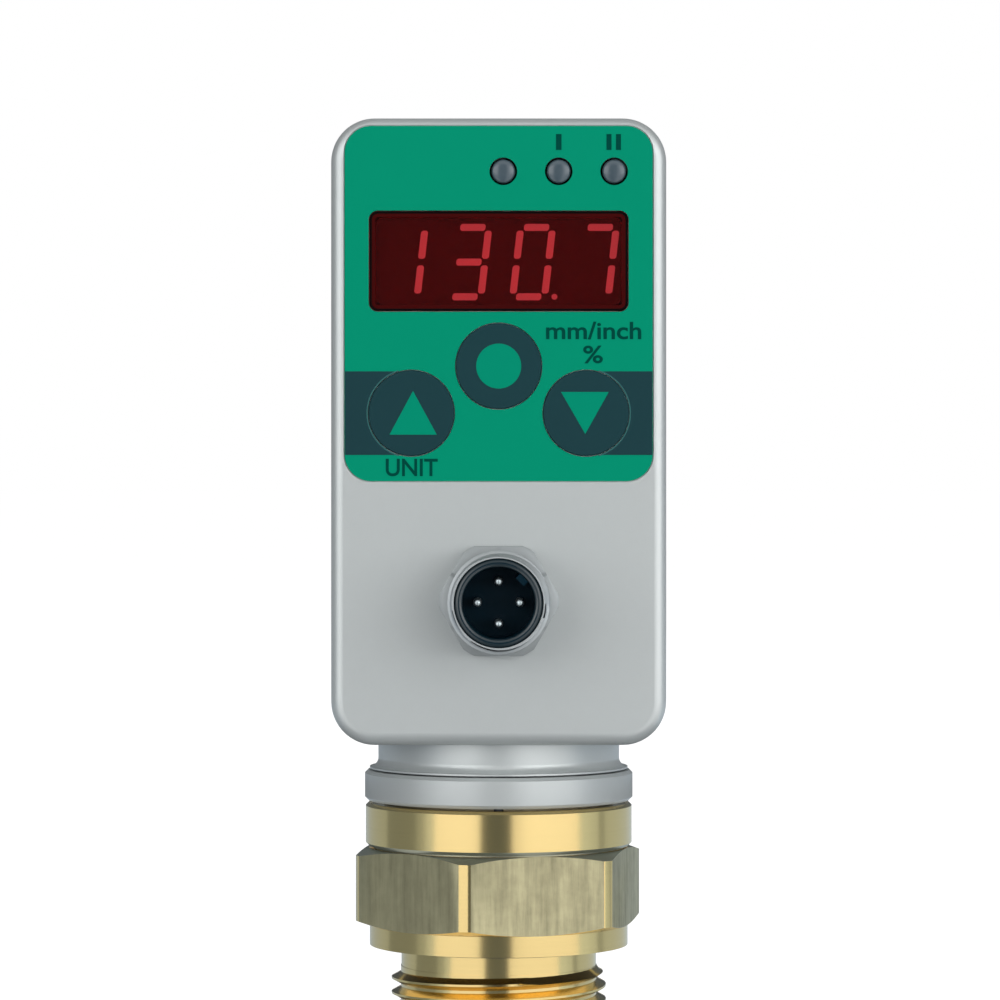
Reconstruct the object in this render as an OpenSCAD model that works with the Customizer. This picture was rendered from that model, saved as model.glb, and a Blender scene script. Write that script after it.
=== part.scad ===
// Level controller head: die-cast display housing that swivels on a brass screw-in fitting.
// Millimetres. +Z runs up the fitting's axis, and the display faces -Y.
// The origin is the centre of the fitting's sealing face, on the thread's axis.

/* [Housing] */
// Width of the housing, left to right
housing_w = 40; // [37:0.5:46]
// Height of the housing without its neck
housing_h = 74.8; // [73:0.1:90]
// Depth of the housing, front face to back of the rear cover
housing_d = 36; // [34.5:0.5:44]
// Radius of the housing's four corners, seen from the front
corner_r = 5.2; // [4.4:0.1:6]
// Radius that rounds the front and back edges
edge_r = 1.5; // [0.6:0.1:2]
// Thickness of the cast walls
wall = 2.5; // [2:0.1:3]
// Thickness of the rear cover
cover_t = 3; // [2.4:0.1:3.6]
// Thickness of the gasket under the rear cover
gasket_t = 0.6; // [0.4:0.1:1]
// How far the gasket's edge lies inside the housing's outline
gasket_inset = 0.6; // [0.3:0.1:1]

/* [Rear cover screws] */
// Distance of each screw from the housing's two nearest sides
screw_inset = 4; // [3.8:0.1:4.3]
// Radius of the screws' heads
screw_head_r = 2.2; // [1.8:0.1:2.4]
// Height of the countersunk heads
screw_head_h = 1.3; // [1:0.1:1.6]
// Radius of the screws' shanks
screw_r = 1.25; // [1:0.05:1.5]
// Length of the screws below the cover
screw_grip = 8; // [5:0.5:12]
// Radius of the cast posts that take the screws
post_r = 2.2; // [2:0.1:2.6]
// Width across the flats of the screws' hexagon sockets
screw_socket_af = 1.5; // [1.3:0.1:2]

/* [Keypad film] */
// Distance from the housing's sides to the film
film_side_inset = 1.65; // [1.4:0.05:2]
// Height of the keypad film
film_h = 42.3; // [41.9:0.1:43]
// Radius of the film's corners
film_r = 3.2; // [2:0.1:4]
// Thickness of the film
film_t = 0.3; // [0.2:0.05:0.5]
// Depth of the housing's recess for the film
film_recess = 0.4; // [0.3:0.05:0.7]
// Gap between the film and the edge of its recess
film_gap = 0.12; // [0.05:0.01:0.3]
// Distance from the housing's top to the film
film_top_inset = 1; // [0.9:0.1:1.4]

/* [Display] */
// Width of the display window
window_w = 30.8; // [30:0.1:32]
// Height of the display window
window_h = 11.9; // [11.4:0.1:13]
// Corner radius of the display window
window_r = 1; // [0.5:0.1:1.5]
// Thickness of the window pane
window_t = 1.1; // [0.8:0.1:1.5]
// Width of the ledge that the pane is bonded to
window_ledge = 0.7; // [0.4:0.1:1]
// Gap around the pane
window_gap = 0.08; // [0.05:0.01:0.15]
// Distance from the film's top to the middle of the window
window_drop = 16.1; // [15.7:0.1:16.5]
// Width of the display module
module_w = 30.2; // [30:0.1:31.5]
// Height of the display module
module_h = 14; // [13:0.5:15]
// Depth of the display module
module_d = 7; // [6:0.1:8]
// Height of the digits
digit_h = 9.14; // [8:0.1:9.5]
// Width of the digits
digit_w = 4.65; // [4:0.05:5.2]
// Distance from one digit to the next
digit_pitch = 7.62; // [6.6:0.02:7.7]
// How far the digits stand to the right of the window's middle
digits_x = 0.25; // [-0.3:0.05:0.3]
// Width of a segment
segment_t = 0.84; // [0.6:0.02:1.1]
// How far a segment's ends narrow
segment_nose = 0.2; // [0.05:0.05:0.3]
// Gap between neighbouring segments
segment_gap = 0.25; // [0.1:0.01:0.4]
// Depth of the segments in the module's face
segment_d = 0.5; // [0.3:0.1:1]
// Slope of the digits, in degrees
digit_slant = 6.5; // [0:0.5:10]
// Radius of the decimal points
point_r = 0.35; // [0.3:0.05:0.6]
// Value shown, with the point before its last digit
reading = 1307; // [0:1:9999]

/* [Lamps] */
// Distance between neighbouring lamps
lamp_pitch = 6.6; // [5.6:0.1:6.8]
// Distance from the film's right edge to the last lamp
lamp_side = 4.6; // [4.3:0.05:5]
// Distance from the film's top to the lamps
lamp_drop = 5.4; // [5:0.1:6]
// Radius of a light pipe's head
lamp_head_r = 1.4; // [1.1:0.05:1.5]
// Radius of a light pipe's stem
lamp_stem_r = 1; // [0.7:0.05:1.2]
// Gap around a light pipe's head
lamp_gap = 0.25; // [0.05:0.01:0.3]

/* [Keys] */
// Distance from the film's sides to each arrow key
key_side = 7.95; // [7.4:0.05:8.2]
// Distance from the film's bottom to the arrow keys
key_low_h = 8.1; // [7.6:0.1:9]
// Distance from the film's bottom to the centre key
key_high_h = 13.7; // [13:0.1:14]
// Radius of the keys
key_r = 5.1; // [4.6:0.1:5.2]
// Gap between a key and the film around it
key_gap = 0.1; // [0.05:0.01:0.2]
// Thickness of a key where it meets the film
key_t = 0.4; // [0.3:0.05:0.6]
// How far a key stands out of the film
key_rise = 0.15; // [0.1:0.05:0.5]
// How far a key can be pressed in
key_travel = 0.4; // [0.2:0.05:0.5]
// Radius of a key's stem
key_stem_r = 1.5; // [1:0.1:1.6]
// Gap around a key's stem
key_stem_gap = 0.3; // [0.2:0.05:0.5]
// Width of a key switch
switch_w = 6; // [5:0.1:6.2]
// Height of a key switch's case above the board
switch_h = 3.5; // [3:0.1:4]
// Radius of a key switch's plunger
plunger_r = 1.7; // [1.5:0.05:2]
// Gap around a key switch's plunger
plunger_gap = 0.08; // [0.03:0.01:0.1]
// Height of a key switch's plunger above its case
plunger_h = 1.2; // [1:0.1:2]

/* [Boards] */
// Thickness of the circuit boards
board_t = 1.6; // [1.2:0.1:2]
// Gap between a board's edge and the housing's wall
board_gap = 0.6; // [0.3:0.1:1]
// Distance from the film's bottom up to the display board's edge
display_board_lift = 1; // [0.5:0.1:1.4]
// Distance from the housing's inner floor to the main board
main_board_lift = 5; // [3.5:0.5:6]
// Distance of the main board behind the fitting's axis
main_board_back = 2; // [1.6:0.1:3]
// Radius of the bosses and spacers that carry the boards
boss_r = 2; // [1.7:0.1:2.1]
// Radius of the screws that hold the boards
board_screw_r = 1; // [0.8:0.1:1.1]
// Depth of the tapped holes for the board screws
board_screw_bite = 4; // [3:0.5:5]
// Length of the header between the boards
header_l = 20.32; // [10.16:2.54:22.86]
// Width of the header between the boards
header_w = 2.54; // [2.54:2.54:5.08]
// Width of the controller chip
chip_w = 9; // [7:0.5:10]
// Thickness of the controller chip
chip_t = 1.2; // [0.8:0.1:1.6]
// Width of the output transistors
transistor_w = 6.5; // [5:0.5:7]
// Height of the output transistors
transistor_h = 9.5; // [8:0.5:10]
// Thickness of the output transistors
transistor_t = 2.3; // [1.8:0.1:3]
// Width of the coil
coil_w = 10; // [8:0.5:10]
// Thickness of the coil
coil_t = 4.5; // [3:0.5:6]
// Radius of the capacitors
capacitor_r = 3.15; // [2.5:0.05:3.15]
// Length of the capacitors
capacitor_l = 7; // [5:0.5:8]
// Gap between neighbouring parts on the main board
part_gap = 0.7; // [0.5:0.1:1]

/* [Plug connector] */
// Distance from the housing's bottom to the connector's axis
plug_h = 17.3; // [16.9:0.1:18]
// Outer radius of the connector's thread
plug_thread_r = 6; // [5.9:0.05:6.1]
// Length of the connector's sleeve in front of the housing
plug_l = 11; // [9.5:0.5:13]
// Width across the flats of the sleeve's hexagon
plug_af = 13; // [12.6:0.1:14]
// Thickness of the sleeve's hexagon
plug_hex_t = 2.4; // [2.2:0.1:3]
// How far the corners of the sleeve's hexagon are turned down
plug_corner_cut = 0.4; // [0.2:0.05:0.6]
// Radius of the sleeve's shank in the housing's wall
plug_shank_r = 5.8; // [5.4:0.1:5.9]
// Length of the sleeve behind the front wall
plug_tail = 4; // [3.6:0.1:5]
// Radius of the sleeve's bore for the insert
plug_bore_r = 4.8; // [4.5:0.05:4.9]
// Radius of the counterbore in the sleeve's mouth
plug_mouth_r = 5.25; // [5.1:0.05:5.3]
// Depth of that counterbore
plug_mouth_d = 1.4; // [1:0.1:2]
// Radius of the cavity for the mating socket
plug_cavity_r = 4.22; // [4.1:0.02:4.25]
// Depth of that cavity
plug_cavity_d = 8.2; // [7:0.1:9]
// Radius of the circle of pins
pin_circle_r = 2.5; // [2.3:0.05:2.6]
// Radius of a contact pin
pin_r = 0.5; // [0.4:0.05:0.55]
// How far the pins stand back from the sleeve's mouth
pin_setback = 1.7; // [1:0.1:3]
// Length of the pins behind the insert
pin_tail = 1.5; // [1:0.1:2]
// Width of the insert's coding rib
coding_w = 1.3; // [1:0.1:1.6]
// Height of the insert's coding rib
coding_h = 0.75; // [0.5:0.05:0.9]
// Thickness of the connector's nut
plug_nut_t = 2.2; // [1.8:0.1:3]
// Width across the flats of the connector's nut
plug_nut_af = 15; // [14:0.5:17]
// Thickness of the flat seal behind the sleeve's hexagon
plug_seal_t = 0.6; // [0.4:0.1:0.8]
// Outer radius of that seal
plug_seal_r = 6.4; // [6.2:0.05:6.45]

/* [Neck and swivel] */
// Distance from the housing's sides to the swivel ring
ring_side = 3.5; // [3.3:0.1:3.6]
// Radial thickness of the swivel ring
ring_wall = 3; // [2.8:0.1:3.2]
// Radial thickness of the neck inside the swivel ring
neck_wall = 2; // [1.8:0.1:2.2]
// How far the neck is slimmer than the swivel ring
neck_step = 1.65; // [1.2:0.05:1.75]
// Height of the neck between the housing and the swivel ring
neck_h = 4; // [3.6:0.1:5]
// How far the neck's foot is slimmer than the swivel ring
foot_step = 0.6; // [0.3:0.1:0.8]
// Thickness of the lip at the neck's foot
foot_t = 0.2; // [0.15:0.05:0.6]
// Height of the swivel ring
ring_h = 3.7; // [3.2:0.1:4.4]
// Bevel on the edges of the swivel ring
ring_bevel = 0.4; // [0.2:0.05:0.6]
// Thin gap between the neck's foot and the swivel ring
foot_gap = 0.2; // [0.1:0.05:0.3]
// Gap between the swivel ring and the brass collar
swivel_gap = 0.3; // [0.2:0.05:0.5]
// Radial running clearance of the spigot in the neck
spigot_clear = 0.06; // [0.02:0.01:0.1]
// Turn of the head to each side, in degrees
swivel_turn = 145; // [60:5:150]
// Distance from the swivel ring's bore to the stop pin's axis
stop_inset = 1.4; // [1.3:0.05:1.5]
// Radius of the stop pin
stop_pin_r = 0.6; // [0.4:0.05:0.7]
// Height of the stop pin above the collar
stop_pin_h = 1.8; // [1.2:0.1:2.2]
// Gap around the stop pin in its track
stop_gap = 0.15; // [0.1:0.01:0.2]
// Radius of the swivel O-ring's section
oring_r = 0.8; // [0.6:0.05:0.9]
// Thickness of the retaining ring
clip_t = 1.2; // [0.8:0.1:1.5]
// How far the retaining ring stands out of the spigot
clip_reach = 1.4; // [1.1:0.1:1.6]
// Depth of the retaining ring's groove
clip_bite = 0.7; // [0.4:0.1:1]
// Axial play of the retaining ring above the housing's floor
clip_play = 0.1; // [0.05:0.01:0.2]

/* [Process connection] */
// Height of the polished collar
collar_h = 5.5; // [4:0.1:6]
// How far the collar is slimmer than the swivel ring
collar_step = 0.1; // [0.1:0.1:0.4]
// Bevel on the edges of the collar
collar_bevel = 0.4; // [0.1:0.05:0.5]
// Height of the groove between the collar and the hexagon
collar_groove_h = 0.2; // [0.15:0.05:1]
// Depth of the groove between the collar and the hexagon
collar_groove_d = 0.6; // [0.3:0.1:1]
// Width across the flats of the hexagon
hex_af = 32; // [31.6:0.2:34]
// How far the hexagon's corners are turned down
hex_corner_cut = 0.42; // [0.2:0.02:0.8]
// Angle of the bevel at both ends of the hexagon, in degrees
hex_bevel_angle = 20; // [15:1:30]
// Height of the hexagon with its sealing flange
hex_h = 12; // [10:0.5:20]
// Turn of the hexagon away from the display, in degrees
hex_turn = 13; // [0:1:60]
// Height of the round sealing flange under the hexagon
flange_h = 2.5; // [2:0.1:4]
// Radius of the sealing flange
flange_r = 15.9; // [15.7:0.05:15.9]
// Outer radius of the process thread
thread_r = 13.22; // [12.9:0.02:13.4]
// Length of the process thread
thread_l = 16; // [14:0.5:20]
// Pitch of the process thread
thread_pitch = 1.814; // [1.7:0.002:1.9]
// Depth of the process thread
thread_d = 1.16; // [1:0.02:1.2]
// Radius of the relief between the thread and the sealing face
relief_r = 12; // [11.9:0.05:12.2]
// Least length of that relief below the sealing face
relief_l = 1.2; // [1:0.1:2]
// Bevel at the thread's end
thread_bevel = 1.3; // [0.8:0.1:1.6]
// Outer radius of the face seal
seal_r = 14.6; // [14.4:0.1:14.8]
// Height of the face seal
seal_h = 1.5; // [1.2:0.1:1.9]
// Radius of the passage for the probe lead
passage_r = 3; // [2:0.1:3.5]
// Wall radius of the probe socket
probe_r = 4.5; // [4:0.1:6]
// Depth of the probe socket
probe_d = 10; // [8:0.5:12]
// Thickness of the spigot's wall around the lead-through plug
cup_wall = 4.5; // [4:0.1:5]
// Depth of that cup
cup_d = 7; // [6:0.5:8]
// Thickness of the lead-through plug
lead_plug_t = 4; // [3:0.5:5]
// Radius of the probe lead
lead_r = 1.1; // [0.8:0.1:1.4]

/* [Hidden] */
$fn = 96;

// A little extra length on cutters, so that they pass their faces
over = 1;
// Thin assembly gap between pieces that are pushed into each other
snug = 0.02;
// How far posts are sunk into the wall they stand on
root = 0.5;
// Room below the tips of the screws
tip_gap = 0.3;
// Radial gaps of the clearance holes for screws and plug shank
cover_hole_gap = 0.15;
board_hole_gap = 0.1;
shank_hole_gap = 0.1;

// Radii of the swivel, from the housing's side inward
ring_r = housing_w / 2 - ring_side;
neck_r = ring_r - neck_step;
foot_r = ring_r - foot_step;
collar_r = ring_r - collar_step;
ring_seat_r = ring_r - ring_wall;
stop_circle_r = ring_seat_r + stop_inset;
spigot_r = ring_seat_r - neck_wall;
clip_r = spigot_r + clip_reach;
cup_r = spigot_r - cup_wall;

// Profile of the process thread: flat crests and roots, steep flanks between them
thread_flat = thread_pitch / 6;
thread_flank = thread_pitch / 2 - thread_flat;
thread_room = thread_l - thread_bevel - relief_l - thread_flat - thread_flank;
thread_ridges = 1 + floor(thread_room / thread_pitch);

// Heights up the fitting
collar_top = hex_h + collar_h;
ring_z = collar_top + swivel_gap;
foot_z = ring_z + ring_h + foot_gap;
floor_z = ring_z + ring_h + neck_h;
inner_floor = floor_z + wall;
top_z = floor_z + housing_h;
mid_z = floor_z + housing_h / 2;
clip_z = inner_floor + clip_play;
spigot_bevel = 0.4;
spigot_lip = 1.5;
spigot_top = clip_z + clip_t + spigot_lip;
oring_z = ring_z + ring_h;
oring_gap = 0.03;
oring_seat_r = spigot_r + spigot_clear - 2 * oring_r - oring_gap;
washer_inset = 0.6;
seal_proud = 0.2;
nipple_h = 1;
nipple_top = spigot_top - cup_d + lead_plug_t + nipple_h;
lead_gap = 0.1;
lead_rise = 6;
lead_top = inner_floor + lead_rise;

// Depths, from the display's side to the back
front_y = -housing_d / 2;
inner_front = front_y + wall;
recess_y = front_y + film_recess;
film_y = recess_y - film_t;
back_y = housing_d / 2;
cover_y = back_y - cover_t;
rim_y = cover_y - gasket_t;
module_gap = 0.1;
module_y = inner_front + module_gap;
display_board_y = module_y + module_d;
main_board_y = main_board_back;

// Inside of the housing
inner_w = housing_w - 2 * wall;
inner_h = housing_h - 2 * wall;
inner_r = corner_r - wall;

// Posts of the rear cover's screws: one in each corner
screw_places = [
    for (x = [-1, 1], z = [floor_z + screw_inset, top_z - screw_inset])
        [x * (housing_w / 2 - screw_inset), z]
];

// Film and what shows in it
film_w = housing_w - 2 * film_side_inset;
film_top = top_z - film_top_inset;
film_bottom = film_top - film_h;
film_mid = (film_top + film_bottom) / 2;
window_z = film_top - window_drop;
lamp_z = film_top - lamp_drop;
lamp_places = [for (i = [0:2]) [film_w / 2 - lamp_side - i * lamp_pitch, lamp_z]];
key_low_z = film_bottom + key_low_h;
key_high_z = film_bottom + key_high_h;
key_x = film_w / 2 - key_side;
up_place = [-key_x, key_low_z];
down_place = [key_x, key_low_z];
set_place = [0, key_high_z];
key_places = [up_place, down_place, set_place];
pocket_gap = 0.2;
pocket_y = recess_y + key_travel + pocket_gap;
diode_h = 1;
plunger_y = display_board_y - switch_h - plunger_h;
plunger_bite = 1.5;

// Boards and the bosses between what shows
board_w = inner_w - 2 * board_gap;
display_board_z = film_bottom + display_board_lift;
main_board_z = inner_floor + main_board_lift;
board_top = top_z - wall - board_gap;
post_clear = 0.4;
spacer_af = 1.8 * boss_r;
boss_side = board_w / 2 - boss_r;
side_boss_lift = 2.3;
low_boss_edge = 0.6;
top_boss_x = -8;
top_boss_lift = 0.4;
board_row = 13.5;
boss_places = [
    [-boss_side, key_high_z + side_boss_lift],
    [boss_side, key_high_z + side_boss_lift],
    [0, display_board_z + boss_r + low_boss_edge],
    [top_boss_x, lamp_z + top_boss_lift]
];

// Connector
plug_place = [0, floor_z + plug_h];
plug_y = front_y - plug_l;
plug_back = inner_front + plug_tail;
plug_bevel = 0.6;
insert_rim = 0.15;
pin_places = [for (a = [0:90:270]) [pin_circle_r * cos(a), pin_circle_r * sin(a)]];

// Digits: which of the segments a to g are lit for the numbers 0 to 9
LIT = [
    [1, 1, 1, 1, 1, 1, 0], [0, 1, 1, 0, 0, 0, 0], [1, 1, 0, 1, 1, 0, 1],
    [1, 1, 1, 1, 0, 0, 1], [0, 1, 1, 0, 0, 1, 1], [1, 0, 1, 1, 0, 1, 1],
    [1, 0, 1, 1, 1, 1, 1], [1, 1, 1, 0, 0, 0, 0], [1, 1, 1, 1, 1, 1, 1],
    [1, 1, 1, 1, 0, 1, 1]
];
digit_count = 4;
point_place = 2;
point_gap = 0.4;
function figure(place) = floor(reading / pow(10, digit_count - 1 - place)) % 10;

SILVER = [0.72, 0.745, 0.745];
BRASS = [0.83, 0.7, 0.42];
STEEL = [0.75, 0.76, 0.77];
GREEN = [0.02, 0.57, 0.44];
TEAL = [0.13, 0.26, 0.28];
BLACK = [0.06, 0.06, 0.07];
BOARD = [0.05, 0.3, 0.16];
CREAM = [0.85, 0.83, 0.76];
PLATED = [0.78, 0.8, 0.78];

// Shared shapes

// Lays a shape drawn in x and y up against the front: y becomes height and z becomes depth
module facing(y) {
    translate([0, y, 0])
        rotate([90, 0, 0])
            mirror([0, 0, 1])
                children();
}

// A rectangle with round corners, centred
module round_rect(w, h, r) {
    union() {
        square([w - 2 * r, h], center = true);
        square([w, h - 2 * r], center = true);
        for (x = [-1, 1], y = [-1, 1])
            translate([x * (w / 2 - r), y * (h / 2 - r)])
                circle(r);
    }
}

// An upright plate with round corners, from depth y back by t, centred at height z
module plate(w, h, r, t, y, z) {
    translate([0, 0, z])
        facing(y)
            linear_extrude(t)
                round_rect(w, h, r);
}

// Section of a plate's rim: x runs outward from the corner's centre and y runs back
module rim_section(r, d, e) {
    union() {
        translate([0, e])
            square([r, d - e]);
        square([r - e, d]);
        translate([r - e, e])
            circle(e);
    }
}

// A plate with round corners whose front edge is rounded by e all the way round
module soft_plate(w, h, r, d, e) {
    union() {
        for (i = [0:3])
            let (across = i % 2 == 0 ? w / 2 - r : h / 2 - r,
                 along = i % 2 == 0 ? h / 2 - r : w / 2 - r)
                rotate(90 * i) {
                    translate([across, along, 0])
                        rotate_extrude(angle = 90)
                            rim_section(r, d, e);
                    translate([across, along, 0])
                        rotate([90, 0, 0])
                            linear_extrude(2 * along)
                                rim_section(r, d, e);
                }
        translate([r - w / 2, r - h / 2, 0])
            cube([w - 2 * r, h - 2 * r, d]);
    }
}

// A round rod along the depth, from y0 back to y1
module rod(r, y0, y1, place) {
    translate([place[0], 0, place[1]])
        facing(y0)
            cylinder(r = r, h = y1 - y0);
}

// A six-sided bar along the depth with flats up and down
module hex_rod(af, y0, y1, place) {
    translate([place[0], 0, place[1]])
        facing(y0)
            cylinder(r = af / sqrt(3), h = y1 - y0, $fn = 6);
}

// A box given by its middle in x and z, its size, and its two depths
module block(w, h, y0, y1, place) {
    translate([place[0] - w / 2, y0, place[1] - h / 2])
        cube([w, y1 - y0, h]);
}

// A flat ring around the fitting's axis
module flat_ring(r_out, r_in, z0, z1) {
    translate([0, 0, z0])
        difference() {
            cylinder(r = r_out, h = z1 - z0);
            translate([0, 0, -over])
                cylinder(r = r_in, h = z1 - z0 + 2 * over);
        }
}

// Fitting

// The screw-in fitting, turned from one hexagon bar
module process_connection() {
    color(BRASS)
        difference() {
            union() {
                hexagon();
                turned_bar();
            }
            translate([0, 0, -thread_l - over])
                cylinder(r = passage_r, h = thread_l + spigot_top + 2 * over);
            translate([0, 0, -thread_l - over])
                cylinder(r = probe_r, h = probe_d + over);
            translate([0, 0, spigot_top - cup_d])
                cylinder(r = cup_r, h = cup_d + over);
            translate([0, -stop_circle_r, collar_top - stop_pin_h])
                cylinder(r = stop_pin_r, h = stop_pin_h + over);
        }
}

// The spanner hexagon, its corners turned down all along and bevelled at both ends
module hexagon() {
    corner = hex_af / sqrt(3);
    turned = corner - hex_corner_cut;
    drop = (turned - hex_af / 2) * tan(hex_bevel_angle);
    intersection() {
        translate([0, 0, flange_h])
            rotate(-90 - hex_turn)
                cylinder(r = corner, h = hex_h - flange_h, $fn = 6);
        rotate_extrude()
            polygon([
                [0, flange_h],
                [hex_af / 2, flange_h],
                [turned, flange_h + drop],
                [turned, hex_h - drop],
                [hex_af / 2, hex_h],
                [0, hex_h]
            ]);
    }
}

// Thread, sealing flange, collar and spigot in one turned profile
module turned_bar() {
    waist_r = hex_af / 2 - collar_groove_d;
    collar_z = hex_h + collar_groove_h;
    ridges = thread_outline(thread_bevel - thread_l);
    rotate_extrude()
        polygon(concat([[0, -thread_l], [thread_r - thread_bevel, -thread_l]], ridges, [
            [relief_r, ridges[len(ridges) - 1][1]],
            [relief_r, seal_h],
            [seal_r + snug, seal_h],
            [seal_r + snug, 0],
            [flange_r, 0],
            [flange_r, flange_h + over],
            [waist_r, flange_h + over],
            [waist_r, collar_z],
            [collar_r - collar_bevel, collar_z],
            [collar_r, collar_z + collar_bevel],
            [collar_r, collar_top - collar_bevel],
            [collar_r - collar_bevel, collar_top],
            [spigot_r, collar_top],
            [spigot_r, oring_z - oring_r - snug],
            [oring_seat_r, oring_z - oring_r - snug],
            [oring_seat_r, oring_z + oring_r + snug],
            [spigot_r, oring_z + oring_r + snug],
            [spigot_r, clip_z],
            [spigot_r - clip_bite, clip_z],
            [spigot_r - clip_bite, clip_z + clip_t + snug],
            [spigot_r, clip_z + clip_t + snug],
            [spigot_r, spigot_top - spigot_bevel],
            [spigot_r - spigot_bevel, spigot_top],
            [0, spigot_top]
        ]));
}

// Crest and root of each ridge of the process thread, as rings, from its end upwards
function thread_outline(end_z) = [
    for (i = [0:thread_ridges - 1], point = [
        [thread_r, 0],
        [thread_r, thread_flat],
        [thread_r - thread_d, thread_flat + thread_flank],
        [thread_r - thread_d, 2 * thread_flat + thread_flank]
    ])
        [point[0], end_z + i * thread_pitch + point[1]]
];

// Elastomer ring in the flange's groove, which seals on the vessel
module face_seal() {
    color(BLACK)
        flat_ring(seal_r, relief_r + snug, -seal_proud, seal_h);
}

// Potted plug in the spigot's cup, with the nipple that the probe lead leaves by
module lead_through() {
    color(BLACK)
        translate([0, 0, spigot_top - cup_d])
            rotate_extrude()
                polygon([
                    [0, 0],
                    [cup_r - snug, 0],
                    [cup_r - snug, lead_plug_t],
                    [2 * lead_r, lead_plug_t],
                    [2 * lead_r, lead_plug_t + nipple_h],
                    [0, lead_plug_t + nipple_h]
                ]);
}

// Slippery washer that the head turns on
module slide_washer() {
    color(CREAM)
        flat_ring(ring_seat_r - washer_inset, spigot_r + snug, collar_top, ring_z);
}

// O-ring in the spigot's groove, against the neck's bore
module swivel_oring() {
    color(BLACK)
        translate([0, 0, oring_z])
            rotate_extrude()
                translate([oring_seat_r + snug + oring_r, 0])
                    circle(oring_r);
}

// Dowel that ends the head's turn
module stop_pin() {
    color(STEEL)
        translate([0, -stop_circle_r, collar_top - stop_pin_h])
            cylinder(r = stop_pin_r - snug / 2, h = 2 * stop_pin_h);
}

// Open spring ring above the housing's floor, which keeps the head on the spigot
module retaining_ring() {
    ear_r = 1.2;
    ear_x = 2.2;
    ear_mid = spigot_r - clip_bite + ear_r + 2 * snug;
    ear_y = sqrt(pow(ear_mid, 2) - pow(ear_x, 2));
    color(STEEL)
        difference() {
            union() {
                flat_ring(clip_r, spigot_r - clip_bite + snug, clip_z + snug / 2, clip_z + clip_t);
                for (side = [-1, 1])
                    translate([side * ear_x, ear_y, clip_z + snug / 2])
                        cylinder(r = ear_r, h = clip_t - snug / 2);
            }
            translate([-ear_x / 2, 0, clip_z - over])
                cube([ear_x, clip_r + over, clip_t + 2 * over]);
            for (side = [-1, 1])
                translate([side * ear_x, ear_y, clip_z - over])
                    cylinder(r = ear_r / 2, h = clip_t + 2 * over);
        }
}

// Housing

// Die-cast shell with its neck, open at the back
module housing() {
    color(SILVER)
        difference() {
            union() {
                difference() {
                    translate([0, 0, mid_z])
                        facing(front_y)
                            soft_plate(housing_w, housing_h, corner_r, rim_y - front_y, edge_r);
                    plate(inner_w, inner_h, inner_r, rim_y - inner_front + over, inner_front, mid_z);
                }
                neck();
                for (p = screw_places)
                    rod(post_r, inner_front - root, rim_y, p);
                for (p = boss_places)
                    rod(boss_r, inner_front - root, display_board_y, p);
            }
            spigot_bore();
            front_openings();
            for (p = screw_places)
                rod(screw_r + snug, rim_y - screw_grip, rim_y + over, p);
            for (p = boss_places)
                rod(board_screw_r + snug, display_board_y - board_screw_bite, display_board_y + over, p);
        }
}

// The round neck under the housing, flared at its foot and stepped for the swivel ring
module neck() {
    flare = foot_r - neck_r;
    flare_z = foot_z + foot_t;
    rotate_extrude()
        difference() {
            polygon([
                [0, ring_z],
                [ring_seat_r, ring_z],
                [ring_seat_r, foot_z],
                [foot_r, foot_z],
                [foot_r, flare_z],
                [foot_r, flare_z + flare],
                [neck_r, flare_z + flare],
                [neck_r, floor_z],
                [0, floor_z]
            ]);
            translate([foot_r, flare_z + flare])
                circle(flare);
        }
}

module spigot_bore() {
    translate([0, 0, ring_z - over])
        cylinder(r = spigot_r + spigot_clear, h = inner_floor - ring_z + 2 * over);
}

// Everything that opens through the housing's front wall
module front_openings() {
    through = inner_front + over;
    translate([0, 0, film_mid])
        facing(front_y - over)
            linear_extrude(film_recess + over)
                round_rect(film_w + 2 * film_gap, film_h + 2 * film_gap, film_r + film_gap);
    plate(window_w + 2 * window_gap, window_h + 2 * window_gap, window_r + window_gap,
        window_t + film_recess, film_y - film_recess, window_z);
    plate(window_w - 2 * window_ledge, window_h - 2 * window_ledge, window_r,
        wall + over, film_y, window_z);
    for (p = lamp_places)
        rod(lamp_head_r + lamp_gap, front_y, through, p);
    for (p = key_places) {
        rod(key_r + key_gap, front_y, pocket_y, p);
        rod(key_stem_r + key_stem_gap, front_y, through, p);
    }
    rod(plug_shank_r + shank_hole_gap, front_y - over, through, plug_place);
    rod(plug_seal_r + snug, front_y - over, front_y + plug_seal_t, plug_place);
}

// Bevelled ring pressed on the neck, with the track of the stop pin underneath
module swivel_ring() {
    color(SILVER)
        difference() {
            rotate_extrude()
                polygon([
                    [ring_seat_r + snug, ring_z],
                    [ring_r - ring_bevel, ring_z],
                    [ring_r, ring_z + ring_bevel],
                    [ring_r, ring_z + ring_h - ring_bevel],
                    [ring_r - ring_bevel, ring_z + ring_h],
                    [ring_seat_r + snug, ring_z + ring_h]
                ]);
            stop_track();
        }
}

// Arc-shaped groove, centred at the front, that the stop pin runs in
module stop_track() {
    reach = stop_pin_r + stop_gap;
    half = swivel_turn + asin(reach / stop_circle_r);
    translate([0, 0, ring_z - over])
        rotate(-90 - half)
            rotate_extrude(angle = 2 * half)
                translate([stop_circle_r - reach, 0])
                    square([2 * reach, stop_pin_h - swivel_gap + stop_gap + over]);
}

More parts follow.
